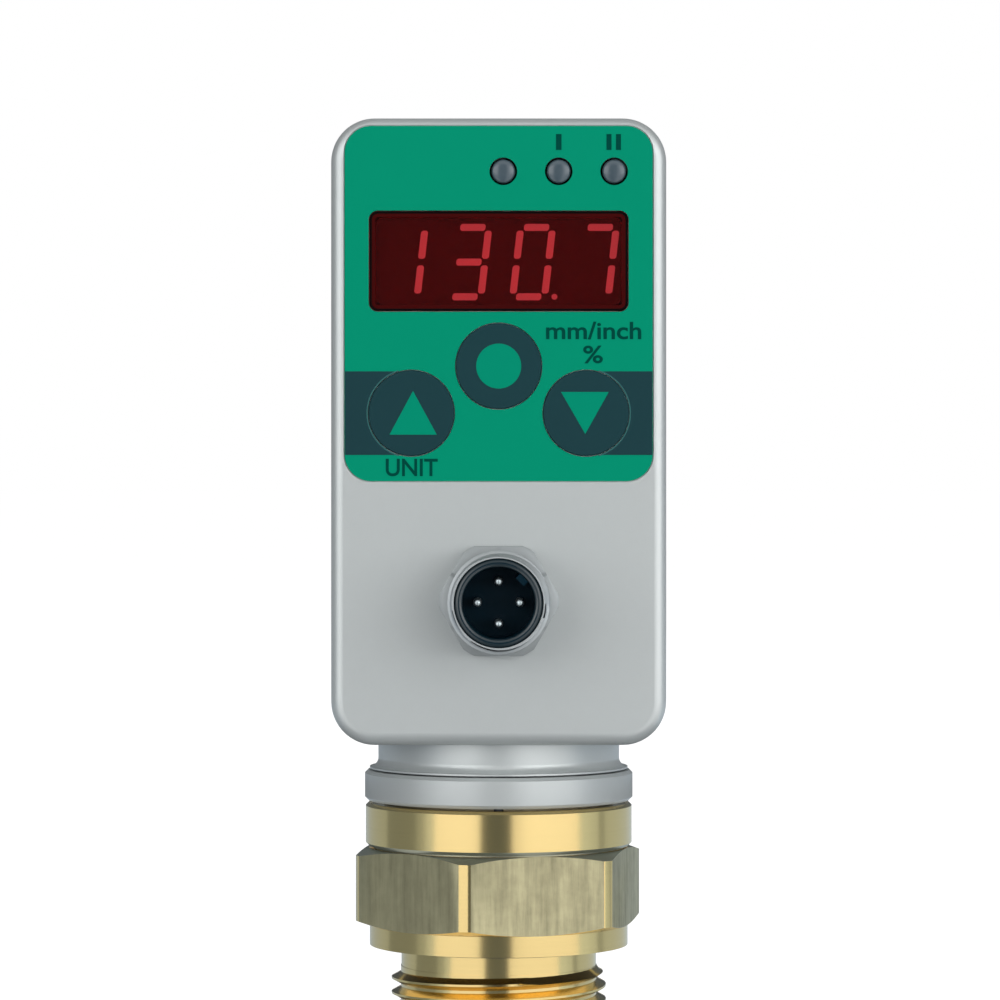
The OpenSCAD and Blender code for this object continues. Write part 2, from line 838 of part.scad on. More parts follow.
// Cast plate that closes the back, with a lip that centres it
module rear_cover() {
    lip_reach = 1.5;
    lip_h = gasket_t + lip_reach;
    lip_t = 1.2;
    lip_gap = 0.2;
    hole_r = screw_r + cover_hole_gap;
    color(SILVER)
        difference() {
            union() {
                translate([0, 0, mid_z])
                    translate([0, back_y, 0])
                        mirror([0, 1, 0])
                            facing(0)
                                soft_plate(housing_w, housing_h, corner_r, cover_t, edge_r);
                difference() {
                    plate(inner_w - 2 * lip_gap, inner_h - 2 * lip_gap, inner_r,
                        lip_h + over, cover_y - lip_h, mid_z);
                    plate(inner_w - 2 * lip_gap - 2 * lip_t, inner_h - 2 * lip_gap - 2 * lip_t,
                        inner_r - lip_t, lip_h + over, cover_y - lip_h - over, mid_z);
                    for (p = screw_places)
                        rod(post_r + lip_gap, cover_y - lip_h - over, cover_y, p);
                    translate([0, 0, floor_z])
                        cylinder(r = clip_r + 3 * lip_gap, h = spigot_top - floor_z + over);
                }
            }
            for (p = screw_places) {
                rod(hole_r, cover_y - over, back_y + over, p);
                translate([p[0], 0, p[1]])
                    facing(back_y - screw_head_h)
                        cylinder(r1 = hole_r, r2 = screw_head_r + cover_hole_gap, h = screw_head_h);
            }
        }
}

// Flat gasket between the housing's rim and the rear cover
module cover_gasket() {
    color(BLACK)
        difference() {
            plate(housing_w - 2 * gasket_inset, housing_h - 2 * gasket_inset, corner_r - gasket_inset,
                gasket_t, rim_y, mid_z);
            difference() {
                plate(inner_w, inner_h, inner_r, gasket_t + 2 * over, rim_y - over, mid_z);
                for (p = screw_places)
                    rod(post_r, rim_y - 2 * over, cover_y + 2 * over, p);
            }
            for (p = screw_places)
                rod(screw_r + snug, rim_y - over, cover_y + over, p);
        }
}

// Countersunk screws with a hexagon socket
module cover_screws() {
    head_sink = 0.1;
    head_y = back_y - head_sink;
    socket_d = 0.8 * screw_head_h;
    color(STEEL)
        for (p = screw_places)
            difference() {
                union() {
                    rod(screw_r, rim_y - screw_grip + tip_gap, head_y - screw_head_h, p);
                    translate([p[0], 0, p[1]])
                        facing(head_y - screw_head_h)
                            cylinder(r1 = screw_r, r2 = screw_head_r, h = screw_head_h);
                }
                hex_rod(screw_socket_af, head_y - socket_d, head_y + over, p);
            }
}

// Keypad and display

// Film over the front, with the openings for window, lamps and keys
module keypad_film() {
    color(GREEN)
        difference() {
            plate(film_w, film_h, film_r, film_t, film_y, film_mid);
            plate(window_w + 2 * window_gap, window_h + 2 * window_gap, window_r + window_gap,
                film_t + 2 * over, film_y - over, window_z);
            for (p = lamp_places)
                rod(lamp_head_r + lamp_gap, film_y - over, recess_y + over, p);
            for (p = key_places)
                rod(key_r + key_gap, film_y - over, recess_y + over, p);
        }
}

// Tinted pane, bonded to the ledge round the window
module display_window() {
    color([0.25, 0.02, 0.04, 0.6])
        plate(window_w, window_h, window_r, window_t, film_y, window_z);
}

// Outline of a level segment with its middle at the origin, narrower at its ends
function segment_outline(length) =
    let (end = length / 2, half = segment_t / 2, nose = segment_nose)
    [
        for (side = [1, -1], p = [[end - nose, half], [end, half - nose],
                                  [end, nose - half], [end - nose, -half]])
            side * p
    ];

// One segment or point of a digit as a flat shape, its outline leaning with the digit
module segment_shape(place, index) {
    cx = (place - (digit_count - 1) / 2) * digit_pitch + digits_x;
    across = (digit_w - segment_t) / 2;
    high = (digit_h - segment_t) / 2;
    lean = tan(digit_slant);
    corner = segment_t / 2 + segment_gap / sqrt(2) - segment_nose;
    level = index == 0 ? high : index == 3 ? -high : 0;
    side = index == 1 || index == 2 ? across : -across;
    middle = index == 2 || index == 4 ? -high / 2 : high / 2;
    outline = index == 0 || index == 3 || index == 6
        ? [for (p = segment_outline(2 * (across - corner))) [p[0], level + p[1]]]
        : [for (p = segment_outline(high - 2 * corner)) [side + p[1], middle + p[0]]];
    if (index < 7)
        polygon([for (p = outline) [cx + p[0] + p[1] * lean, p[1]]]);
    else
        translate([cx + digit_w / 2 + point_gap + point_r - high * lean, -high])
            circle(point_r);
}

// The chosen segments as solids in the module's face
module segments(lit) {
    for (place = [0:digit_count - 1], index = [0:7])
        if ((index < 7 ? LIT[figure(place)][index] : (place == point_place ? 1 : 0)) == lit)
            translate([0, 0, window_z])
                facing(module_y)
                    linear_extrude(segment_d)
                        segment_shape(place, index);
}

// Case of the seven-segment display
module display_module() {
    color(BLACK)
        difference() {
            block(module_w, module_h, module_y, display_board_y, [0, window_z]);
            for (place = [0:digit_count - 1], index = [0:7])
                translate([0, 0, window_z])
                    facing(module_y - over)
                        linear_extrude(segment_d + over)
                            segment_shape(place, index);
        }
}

module lit_segments() {
    color([0.85, 0.12, 0.15])
        segments(1);
}

module dark_segments() {
    color([0.25, 0.03, 0.04])
        segments(0);
}

// Stepped clear rods that bring the diodes' light to the front
module light_pipes() {
    head_l = wall - film_recess;
    bevel = 0.2;
    color([0.5, 0.49, 0.53])
        for (p = lamp_places)
            translate([p[0], 0, p[1]])
                facing(film_y)
                    rotate_extrude()
                        polygon([
                            [0, 0],
                            [lamp_head_r - bevel, 0],
                            [lamp_head_r, bevel],
                            [lamp_head_r, head_l],
                            [lamp_stem_r, head_l],
                            [lamp_stem_r, display_board_y - film_y - diode_h - snug],
                            [0, display_board_y - film_y - diode_h - snug]
                        ]);
}

// Diodes on the display board, behind the light pipes
module indicator_diodes() {
    diode_w = 1.6;
    diode_l = 1.2;
    color(CREAM)
        for (p = lamp_places)
            block(diode_w, diode_l, display_board_y - diode_h, display_board_y, p);
}

// Raised key with its stem
module key(place) {
    bevel = key_rise * 0.8;
    color(TEAL)
        translate([place[0], 0, place[1]])
            facing(film_y)
                rotate_extrude()
                    polygon([
                        [0, -key_rise],
                        [key_r - bevel, -key_rise],
                        [key_r, bevel - key_rise],
                        [key_r, key_t],
                        [key_stem_r, key_t],
                        [key_stem_r, plunger_y - film_y],
                        [0, plunger_y - film_y]
                    ]);
}

module key_up() {
    key(up_place);
}

module key_down() {
    key(down_place);
}

module key_set() {
    key(set_place);
}

// Plunger of a key switch, which the key's stem pushes
module plunger(place) {
    color(BLACK)
        rod(plunger_r, plunger_y, plunger_y + plunger_h + plunger_bite, place);
}

module plunger_up() {
    plunger(up_place);
}

module plunger_down() {
    plunger(down_place);
}

module plunger_set() {
    plunger(set_place);
}

// Cases of the three key switches
module key_switches() {
    case_y = display_board_y - switch_h;
    well_y = case_y + plunger_bite + key_travel + pocket_gap;
    color(STEEL)
        for (p = key_places)
            difference() {
                block(switch_w, switch_w, case_y, display_board_y, p);
                rod(plunger_r + plunger_gap, case_y - over, well_y, p);
            }
}

// Boards

// A board between two heights, its top corners cut out round the screw posts
module board(z0, y) {
    h = board_top - z0;
    color(BOARD)
        difference() {
            block(board_w, h, y, y + board_t, [0, z0 + h / 2]);
            for (p = screw_places)
                rod(post_r + post_clear, y - over, y + board_t + over, p);
            for (p = boss_places)
                rod(board_screw_r + board_hole_gap, y - over, y + board_t + over, p);
        }
}

module display_board() {
    board(display_board_z, display_board_y);
}

module main_board() {
    board(main_board_z, main_board_y);
}

// Hexagon spacers whose studs screw into the housing's bosses
module board_spacers() {
    body_y = display_board_y + board_t;
    color(BRASS)
        for (p = boss_places)
            difference() {
                union() {
                    hex_rod(spacer_af, body_y, main_board_y, p);
                    rod(board_screw_r, display_board_y - board_screw_bite + tip_gap, body_y + root, p);
                }
                rod(board_screw_r + snug, main_board_y - board_screw_bite, main_board_y + over, p);
            }
}

// Pan-head screws that hold the main board on the spacers
module board_screws() {
    head_y = main_board_y + board_t;
    head_r = 1.9 * board_screw_r;
    head_h = 1.3 * board_screw_r;
    cross_l = 2.4 * board_screw_r;
    cross_w = 0.4 * board_screw_r;
    cross_y = head_y + head_h / 2;
    color(STEEL)
        for (p = boss_places)
            difference() {
                union() {
                    rod(board_screw_r, main_board_y - board_screw_bite + tip_gap, head_y + root, p);
                    rod(head_r, head_y, head_y + head_h, p);
                }
                block(cross_l, cross_w, cross_y, head_y + head_h + over, p);
                block(cross_w, cross_l, cross_y, head_y + head_h + over, p);
            }
}

// Pin header that joins the two boards
module board_header() {
    color(BLACK)
        block(header_l, header_w, display_board_y + board_t, main_board_y, [0, window_z]);
}

// Controller chip, regulator, output transistors, coil and capacitors on the main board
module board_parts() {
    y = main_board_y + board_t;
    chip_z = window_z - board_row;
    coil_z = chip_z - board_row + 2 * part_gap;
    coil_x = -board_w / 2 + coil_w / 2 + 2 * part_gap;
    capacitor_x = board_w / 2 - capacitor_r - 2 * part_gap;
    transistor_x = (transistor_w + part_gap) / 2;
    transistor_z = coil_z - (coil_w + transistor_h) / 2 - part_gap;
    color([0.12, 0.12, 0.13]) {
        block(chip_w, chip_w, y, y + chip_t, [0, chip_z]);
        block(coil_w, coil_w, y, y + coil_t, [coil_x, coil_z]);
        for (side = [-1, 1])
            block(transistor_w, transistor_h, y, y + transistor_t, [side * transistor_x, transistor_z]);
    }
    color([0.25, 0.3, 0.5])
        for (i = [0, 1])
            rod(capacitor_r, y, y + capacitor_l, [capacitor_x - i * (2 * capacitor_r + part_gap), coil_z]);
}

// Socket on the main board that the probe lead plugs into from below
module lead_socket() {
    socket_w = 8;
    socket_h = 4.5;
    socket_wall = 1.4;
    color(CREAM)
        block(socket_w, socket_h, -lead_r - socket_wall, main_board_y, [0, lead_top + socket_h / 2]);
}

// Lead from the lead-through up to its socket; it lies on the swivel's axis
module probe_lead() {
    color([0.2, 0.2, 0.22])
        translate([0, 0, nipple_top + lead_gap])
            cylinder(r = lead_r, h = lead_top - nipple_top - lead_gap);
}

// Plug connector

// Threaded sleeve with its hexagon and shank
module connector_sleeve() {
    hex_y = front_y - plug_hex_t;
    flat_r = plug_af / 2;
    turned = plug_af / sqrt(3) - plug_corner_cut;
    color(STEEL)
        difference() {
            union() {
                intersection() {
                    hex_rod(plug_af, hex_y, front_y, plug_place);
                    translate([plug_place[0], 0, plug_place[1]])
                        facing(hex_y)
                            rotate_extrude()
                                polygon([
                                    [0, 0],
                                    [flat_r, 0],
                                    [turned, (turned - flat_r) * tan(30)],
                                    [turned, plug_hex_t],
                                    [0, plug_hex_t]
                                ]);
                }
                translate([plug_place[0], 0, plug_place[1]])
                    facing(plug_y)
                        rotate_extrude()
                            polygon([
                                [0, 0],
                                [plug_thread_r - plug_bevel, 0],
                                [plug_thread_r, plug_bevel],
                                [plug_thread_r, hex_y - plug_y + snug],
                                [plug_shank_r, hex_y - plug_y + snug],
                                [plug_shank_r, plug_back - plug_y],
                                [0, plug_back - plug_y]
                            ]);
            }
            rod(plug_bore_r, plug_y - over, plug_back + over, plug_place);
            rod(plug_mouth_r, plug_y - over, plug_y + plug_mouth_d, plug_place);
        }
}

// Moulded insert: the collar in the mouth, the cavity for the mating socket and its coding rib
module connector_insert() {
    mouth_y = plug_y + insert_rim;
    cavity_y = mouth_y + plug_cavity_d;
    rib_setback = 0.2;
    rib_root = 0.2;
    color(BLACK)
        difference() {
            union() {
                difference() {
                    union() {
                        rod(plug_bore_r - snug, mouth_y, plug_back, plug_place);
                        rod(plug_mouth_r - snug, mouth_y, plug_y + plug_mouth_d, plug_place);
                    }
                    rod(plug_cavity_r, mouth_y - over, cavity_y, plug_place);
                }
                translate([plug_place[0], 0, plug_place[1]])
                    facing(mouth_y + rib_setback)
                        rotate(45)
                            translate([plug_cavity_r - coding_h, -coding_w / 2, 0])
                                cube([coding_h + rib_root, coding_w, plug_cavity_d - rib_setback + snug]);
            }
            for (p = pin_places)
                rod(pin_r + snug, cavity_y - over, plug_back + over, plug_place + p);
        }
}

// Four contact pins with rounded tips
module contact_pins() {
    color(PLATED)
        for (p = pin_places) {
            tip_y = plug_y + pin_setback + pin_r;
            rod(pin_r, tip_y, plug_back + pin_tail, plug_place + p);
            translate([plug_place[0] + p[0], tip_y, plug_place[1] + p[1]])
                sphere(pin_r);
        }
}

// Flat seal in the housing's front, behind the sleeve's hexagon
module connector_seal() {
    color(BLACK)
        difference() {
            rod(plug_seal_r, front_y, front_y + plug_seal_t, plug_place);
            rod(plug_shank_r + snug, front_y - over, front_y + plug_seal_t + over, plug_place);
        }
}

// Nut that clamps the sleeve from inside
module connector_nut() {
    color(STEEL)
        difference() {
            hex_rod(plug_nut_af, inner_front, inner_front + plug_nut_t, plug_place);
            rod(plug_shank_r + snug, inner_front - over, inner_front + plug_nut_t + over, plug_place);
        }
}

// Leads from the contact pins to the main board
module connector_leads() {
    jacket_t = 0.1;
    color([0.6, 0.35, 0.15])
        for (p = pin_places)
            rod(pin_r + jacket_t, plug_back + pin_tail, main_board_y, plug_place + p);
}

process_connection();
face_seal();
lead_through();
slide_washer();
swivel_oring();
stop_pin();
retaining_ring();
housing();
swivel_ring();
rear_cover();
cover_gasket();
cover_screws();
keypad_film();
display_window();
display_module();
lit_segments();
dark_segments();
light_pipes();
indicator_diodes();
key_switches();
display_board();
board_spacers();
main_board();
board_screws();
board_header();
board_parts();
lead_socket();
probe_lead();
connector_sleeve();
connector_insert();
contact_pins();
connector_seal();
connector_nut();
connector_leads();
key_up();
key_down();
key_set();
plunger_up();
plunger_down();
plunger_set();
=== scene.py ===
import logging
import math
from dataclasses import dataclass, field, replace
from enum import Enum

import bmesh
import bpy
from bmesh.types import BMFace, BMVert, BMesh
from bpy.types import Material, Mesh, Node, NodeSocket, NodeTree, Object
from mathutils import Matrix, Vector


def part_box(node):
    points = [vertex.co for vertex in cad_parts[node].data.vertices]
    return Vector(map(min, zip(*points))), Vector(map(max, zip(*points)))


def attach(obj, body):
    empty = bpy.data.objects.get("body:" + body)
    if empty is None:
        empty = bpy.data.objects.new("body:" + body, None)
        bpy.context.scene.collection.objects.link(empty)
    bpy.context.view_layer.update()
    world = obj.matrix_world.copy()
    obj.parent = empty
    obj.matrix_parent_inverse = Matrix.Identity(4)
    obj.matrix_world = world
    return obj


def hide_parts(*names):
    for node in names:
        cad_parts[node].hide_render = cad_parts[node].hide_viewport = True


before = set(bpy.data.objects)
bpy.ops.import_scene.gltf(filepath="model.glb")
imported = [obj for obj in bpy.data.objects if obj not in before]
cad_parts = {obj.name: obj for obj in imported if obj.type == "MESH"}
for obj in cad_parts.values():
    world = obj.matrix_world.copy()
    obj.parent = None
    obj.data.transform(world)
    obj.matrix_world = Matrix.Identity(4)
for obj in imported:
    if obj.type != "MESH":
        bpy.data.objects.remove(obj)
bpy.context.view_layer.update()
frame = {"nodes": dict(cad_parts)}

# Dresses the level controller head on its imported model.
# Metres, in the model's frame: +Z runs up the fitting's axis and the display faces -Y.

MM = 0.001
PLUG_HEIGHT = 42.8 * MM
CIRCLE_STEPS = 72
FLAT_ANGLE = math.radians(0.5)
SHARP_ANGLE = math.radians(30.0)
WELD = 0.001 * MM
UPRIGHT = Matrix.Rotation(math.pi / 2, 3, "X")
log = logging.getLogger("level_head")


class Body(Enum):
    """The moving bodies that a piece can ride on."""

    FITTING = "fitting"
    HEAD = "head"
    UP_KEY = "up_key"
    DOWN_KEY = "down_key"
    SET_KEY = "set_key"


class Texture(Enum):
    """How a finish varies over its surface."""

    GRAIN = "Fine grain"
    FLAKE = "Paint flake"
    LATHE = "Turning marks"
    STREAK = "Drawn streaks"
    WEAVE = "Glass weave"


class Axis(Enum):
    """Axis that turning marks run around."""

    UP = "z"
    PLUG = "y"


@dataclass(frozen=True)
class Finish:
    """One finish of the real part.

    Attributes:
        name: name of the material.
        slot: the record's material slot it belongs to; not used here.
        color: linear base colour.
        metallic: 0 for plastic and paint, 1 for bare metal.
        roughness: middle value of the roughness.
        tone: how much darker the colour gets in patches.
        spread: how far the roughness drifts.
        cells: texture cells per metre.
        relief: height of the bump in metres.
        texture: how the finish varies.
        axis: axis of turning marks.
        coat: weight of a clear coat.
        transmission: weight of clear transmission.
        ior: index of refraction.
        specular: level of the surface gloss, 0.5 as usual.
        glow: strength of the light it gives off in its own colour.
    """

    name: str
    slot: str
    color: tuple[float, float, float]
    metallic: float = 0.0
    roughness: float = 0.5
    tone: float = 0.08
    spread: float = 0.1
    cells: float = 4000.0
    relief: float = 1e-5
    texture: Texture = Texture.GRAIN
    axis: Axis = Axis.UP
    coat: float = 0.0
    transmission: float = 0.0
    ior: float = 1.5
    specular: float = 0.5
    glow: float = 0.0


SILVER_PAINT = Finish(
    "silver_paint", "silver_paint", (0.575, 0.61, 0.61), 0.36, 0.37, 0.05, 0.06, 9000.0, 4e-6,
    Texture.FLAKE)
TURNED_BRASS = Finish(
    "turned_brass", "brass", (0.79, 0.6, 0.265), 1.0, 0.17, 0.12, 0.06, 2600.0, 1.5e-6,
    Texture.LATHE)
DRAWN_BRASS = Finish(
    "drawn_brass", "brass", (0.66, 0.605, 0.365), 0.8, 0.42, 0.8, 0.2, 650.0, 5e-6,
    Texture.STREAK)
# Brass with turning marks, darker and greyer than the turned brass: painted shade under the
# collar, on the hexagon's upper bevel and the groove.
COLLAR_SHADE_BRASS = Finish(
    "collar_shade_brass", "brass", (0.42, 0.44, 0.36), 0.8, 0.42, 0.12, 0.1, 2600.0, 3e-6, Texture.LATHE)
DULL_NICKEL = Finish(
    "dull_nickel", "nickel", (0.46, 0.49, 0.5), 1.0, 0.55, 0.08, 0.1, 3000.0, 3e-6, Texture.LATHE,
    Axis.PLUG)
MATT_NICKEL = Finish(
    "matt_nickel", "nickel", (0.335, 0.362, 0.37), 0.4, 0.45, 0.08, 0.08, 3000.0, 3e-6)
STEEL = Finish(
    "bright_steel", "steel", (0.6, 0.6, 0.6), 1.0, 0.28, 0.1, 0.12, 2500.0, 4e-6, Texture.STREAK)
BLACKED_STEEL = Finish(
    "blacked_steel", "steel", (0.05, 0.05, 0.055), 0.8, 0.4, 0.1, 0.1, 2500.0, 3e-6)
CONTACT_PLATING = Finish(
    "contact_plating", "contact_plating", (0.48, 0.55, 0.57), 1.0, 0.38, 0.05, 0.08, 4000.0, 2e-6,
    Texture.LATHE, Axis.PLUG)
GREEN_FILM = Finish(
    "green_film", "green_film", (0.0012, 0.312, 0.18), 0.0, 0.42, 0.05, 0.06, 7000.0, 4e-6,
    specular=0.02)
TEAL_INK = Finish(
    "teal_ink", "teal_key", (0.0144, 0.0545, 0.0648), 0.0, 0.4, 0.1, 0.06, 7000.0, 4e-6,
    specular=0.05)
GREEN_INK = replace(GREEN_FILM, name="green_ink", color=(0.0012, 0.3, 0.18))
DEEP_GREEN_INK = replace(GREEN_FILM, name="deep_green_ink", color=(0.0, 0.07, 0.052))
# Lighter teal for the painted highlight along each side key's edge, where it meets the dark band.
KEY_EDGE_HIGHLIGHT = replace(TEAL_INK, name="key_edge_highlight", color=(0.045, 0.155, 0.155), tone=0.05)
# Black for the line just inside the display pane's edge.
PANE_EDGE_BLACK = replace(
    TEAL_INK, name="pane_edge_black", slot="black_plastic", color=(0.004, 0.003, 0.003), specular=0.02)
# Dark red of the painted shade along the inside of the display window's edge.
WINDOW_EDGE_SHADE = Finish(
    "window_edge_shade", "red_pane", (0.057, 0.002, 0.002), 0.0, 0.3, 0.05, 0.06, 7000.0, 2e-6,
    specular=0.05)
RED_PANE = Finish(
    "red_pane", "red_pane", (0.7, 0.06, 0.06), 0.0, 0.06, 0.0, 0.02, 2000.0, 5e-7,
    transmission=0.985, ior=1.42, specular=0.15)
LIT_RED = Finish(
    "lit_red", "lit_red", (0.6, 0.82, 1.0), 0.0, 0.4, 0.06, 0.05, 6000.0, 2e-6, glow=0.55)
DARK_MODULE = Finish(
    "dark_module", "black_plastic", (0.024, 0.002, 0.002), 0.0, 0.45, 0.1, 0.05, 6000.0, 2e-6,
    specular=0.25)
DARK_RED = replace(DARK_MODULE, name="dark_red", slot="dark_red")
SMOKY = Finish(
    "smoky_plastic", "smoky_plastic", (0.07, 0.103, 0.128), 0.0, 0.25, 0.1, 0.05, 5000.0, 2e-6,
    coat=0.3)
BLACK_PLASTIC = Finish(
    "black_plastic", "black_plastic", (0.014, 0.014, 0.016), 0.0, 0.45, 0.15, 0.1, 6000.0, 6e-6,
    specular=0.3)
# Darker, duller copy of the insert's black plastic on the cavity and the rest: painted shade in
# the cavity.
INSERT_BLACK = Finish(
    "insert_black", "black_plastic", (0.0, 0.014, 0.026), 0.0, 0.35, 0.15, 0.06, 6000.0, 2e-6,
    specular=0.12)
# Lighter, glossier copy of the same black plastic on the open end's rim: painted highlight.
INSERT_RIM_SHEEN = Finish(
    "insert_rim", "black_plastic", (0.006, 0.02, 0.028), 0.0, 0.28, 0.15, 0.06, 6000.0, 2e-6,
    specular=0.7)
WHITE_PLASTIC = Finish(
    "white_plastic", "white_plastic", (0.7, 0.66, 0.55), 0.0, 0.45, 0.05, 0.08, 4000.0, 4e-6)
LAMINATE = Finish(
    "board_laminate", "board_laminate", (0.012, 0.11, 0.045), 0.0, 0.3, 0.25, 0.05, 900.0, 6e-6,
    Texture.WEAVE, coat=0.3)
LEAD_BROWN = Finish(
    "lead_brown", "lead_brown", (0.22, 0.08, 0.03), 0.0, 0.5, 0.1, 0.05, 3000.0, 4e-6)
RUBBER = Finish(
    "seal_rubber", "seal_rubber", (0.016, 0.016, 0.018), 0.0, 0.62, 0.2, 0.1, 3500.0, 1e-5)


class Tree:
    """A small helper that adds and links shader nodes in one node tree."""

    def __init__(self, tree: NodeTree) -> None:
        """Keeps the tree to fill."""
        self.tree = tree

    def add(self, kind: str, **values: object) -> Node:
        """Adds a node and sets its properties and sockets.

        Args:
            kind: the node's type name without its ShaderNode prefix.
            **values: properties by name, and sockets by name with underscores for spaces.

        Returns:
            The new node.
        """
        node = self.tree.nodes.new(kind if kind.startswith("Node") else "ShaderNode" + kind)
        self.tune(node, **values)
        return node

    def tune(self, node: Node, **values: object) -> None:
        """Sets a node's properties and sockets.

        Args:
            node: the node.
            **values: as in add.
        """
        for key, value in values.items():
            if hasattr(node, key):
                setattr(node, key, value)
            else:
                node.inputs[key.replace("_", " ")].default_value = value

    def link(self, source: object, target: NodeSocket) -> None:
        """Feeds a socket.

        Args:
            source: the socket to link, or the number to set.
            target: the socket fed.
        """
        if isinstance(source, NodeSocket):
            self.tree.links.new(source, target)
        else:
            target.default_value = source

    def math(self, operation: str, first: object, second: object = 0.0) -> NodeSocket:
        """Adds a Math node.

        Args:
            operation: the Math node's operation.
            first: a socket or number.
            second: a socket or number.

        Returns:
            The node's output socket.
        """
        node = self.add("Math", operation=operation)
        for value, socket in zip((first, second), node.inputs):
            self.link(value, socket)
        return node.outputs[0]

    def blend(self, first: object, second: object, share: float) -> NodeSocket:
        """Adds two values, the first by its share and the second by the rest."""
        return self.math("ADD", self.math("MULTIPLY", first, share),
                         self.math("MULTIPLY", second, 1.0 - share))

    def texture(self, kind: str, vector: NodeSocket, scale: object, **values: object) -> Node:
        """Adds a texture node.

        Args:
            kind: the node's type name, as in add.
            vector: the place it is read at.
            scale: its scale, a socket or number.
            **values: its other properties and sockets.

        Returns:
            The new node.
        """
        node = self.add(kind, **values)
        self.link(vector, node.inputs["Vector"])
        self.link(scale, node.inputs["Scale"])
        return node


def new_material(name: str) -> tuple[Material, Tree]:
    """Makes a material with its usual shader.

    Args:
        name: the material's name.

    Returns:
        The material, and the helper for its tree.
    """
    made = bpy.data.materials.new(name)
    made.use_nodes = True
    return made, Tree(made.node_tree)


def put(name: str, data: bpy.types.ID) -> Object:
    """Puts a new object in the scene.

    Args:
        name: the object's name.
        data: its mesh, curve, lamp or camera.

    Returns:
        The object.
    """
    made = bpy.data.objects.new(name, data)
    bpy.context.scene.collection.objects.link(made)
    return made


def settle(name: str, shape: BMesh) -> Mesh:
    """Makes a mesh of a finished shape.

    Args:
        name: the mesh's name.
        shape: the shape; it is freed here.

    Returns:
        The mesh.
    """
    mesh = bpy.data.meshes.new(name)
    shape.to_mesh(mesh)
    shape.free()
    return mesh


def join(shape: BMesh, other: BMesh) -> None:
    """Adds a second shape to a first one.

    Args:
        shape: the first shape.
        other: the second shape; it is freed here.
    """
    mesh = settle("join", other)
    shape.from_mesh(mesh)
    bpy.data.meshes.remove(mesh)


def shift(shape: BMesh, x: float, y: float, z: float) -> None:
    """Moves a whole shape."""
    bmesh.ops.translate(shape, verts=shape.verts, vec=(x, y, z))


def flatten(shape: BMesh) -> None:
    """Makes one face of the triangles of each flat side."""
    bmesh.ops.dissolve_limit(shape, angle_limit=FLAT_ANGLE, verts=shape.verts,
                             edges=shape.edges, delimit=set())


def grown_verts(grown: dict[str, list]) -> list[BMVert]:
    """Gives the vertices that an extrusion has made."""
    return [item for item in grown["geom"] if isinstance(item, BMVert)]


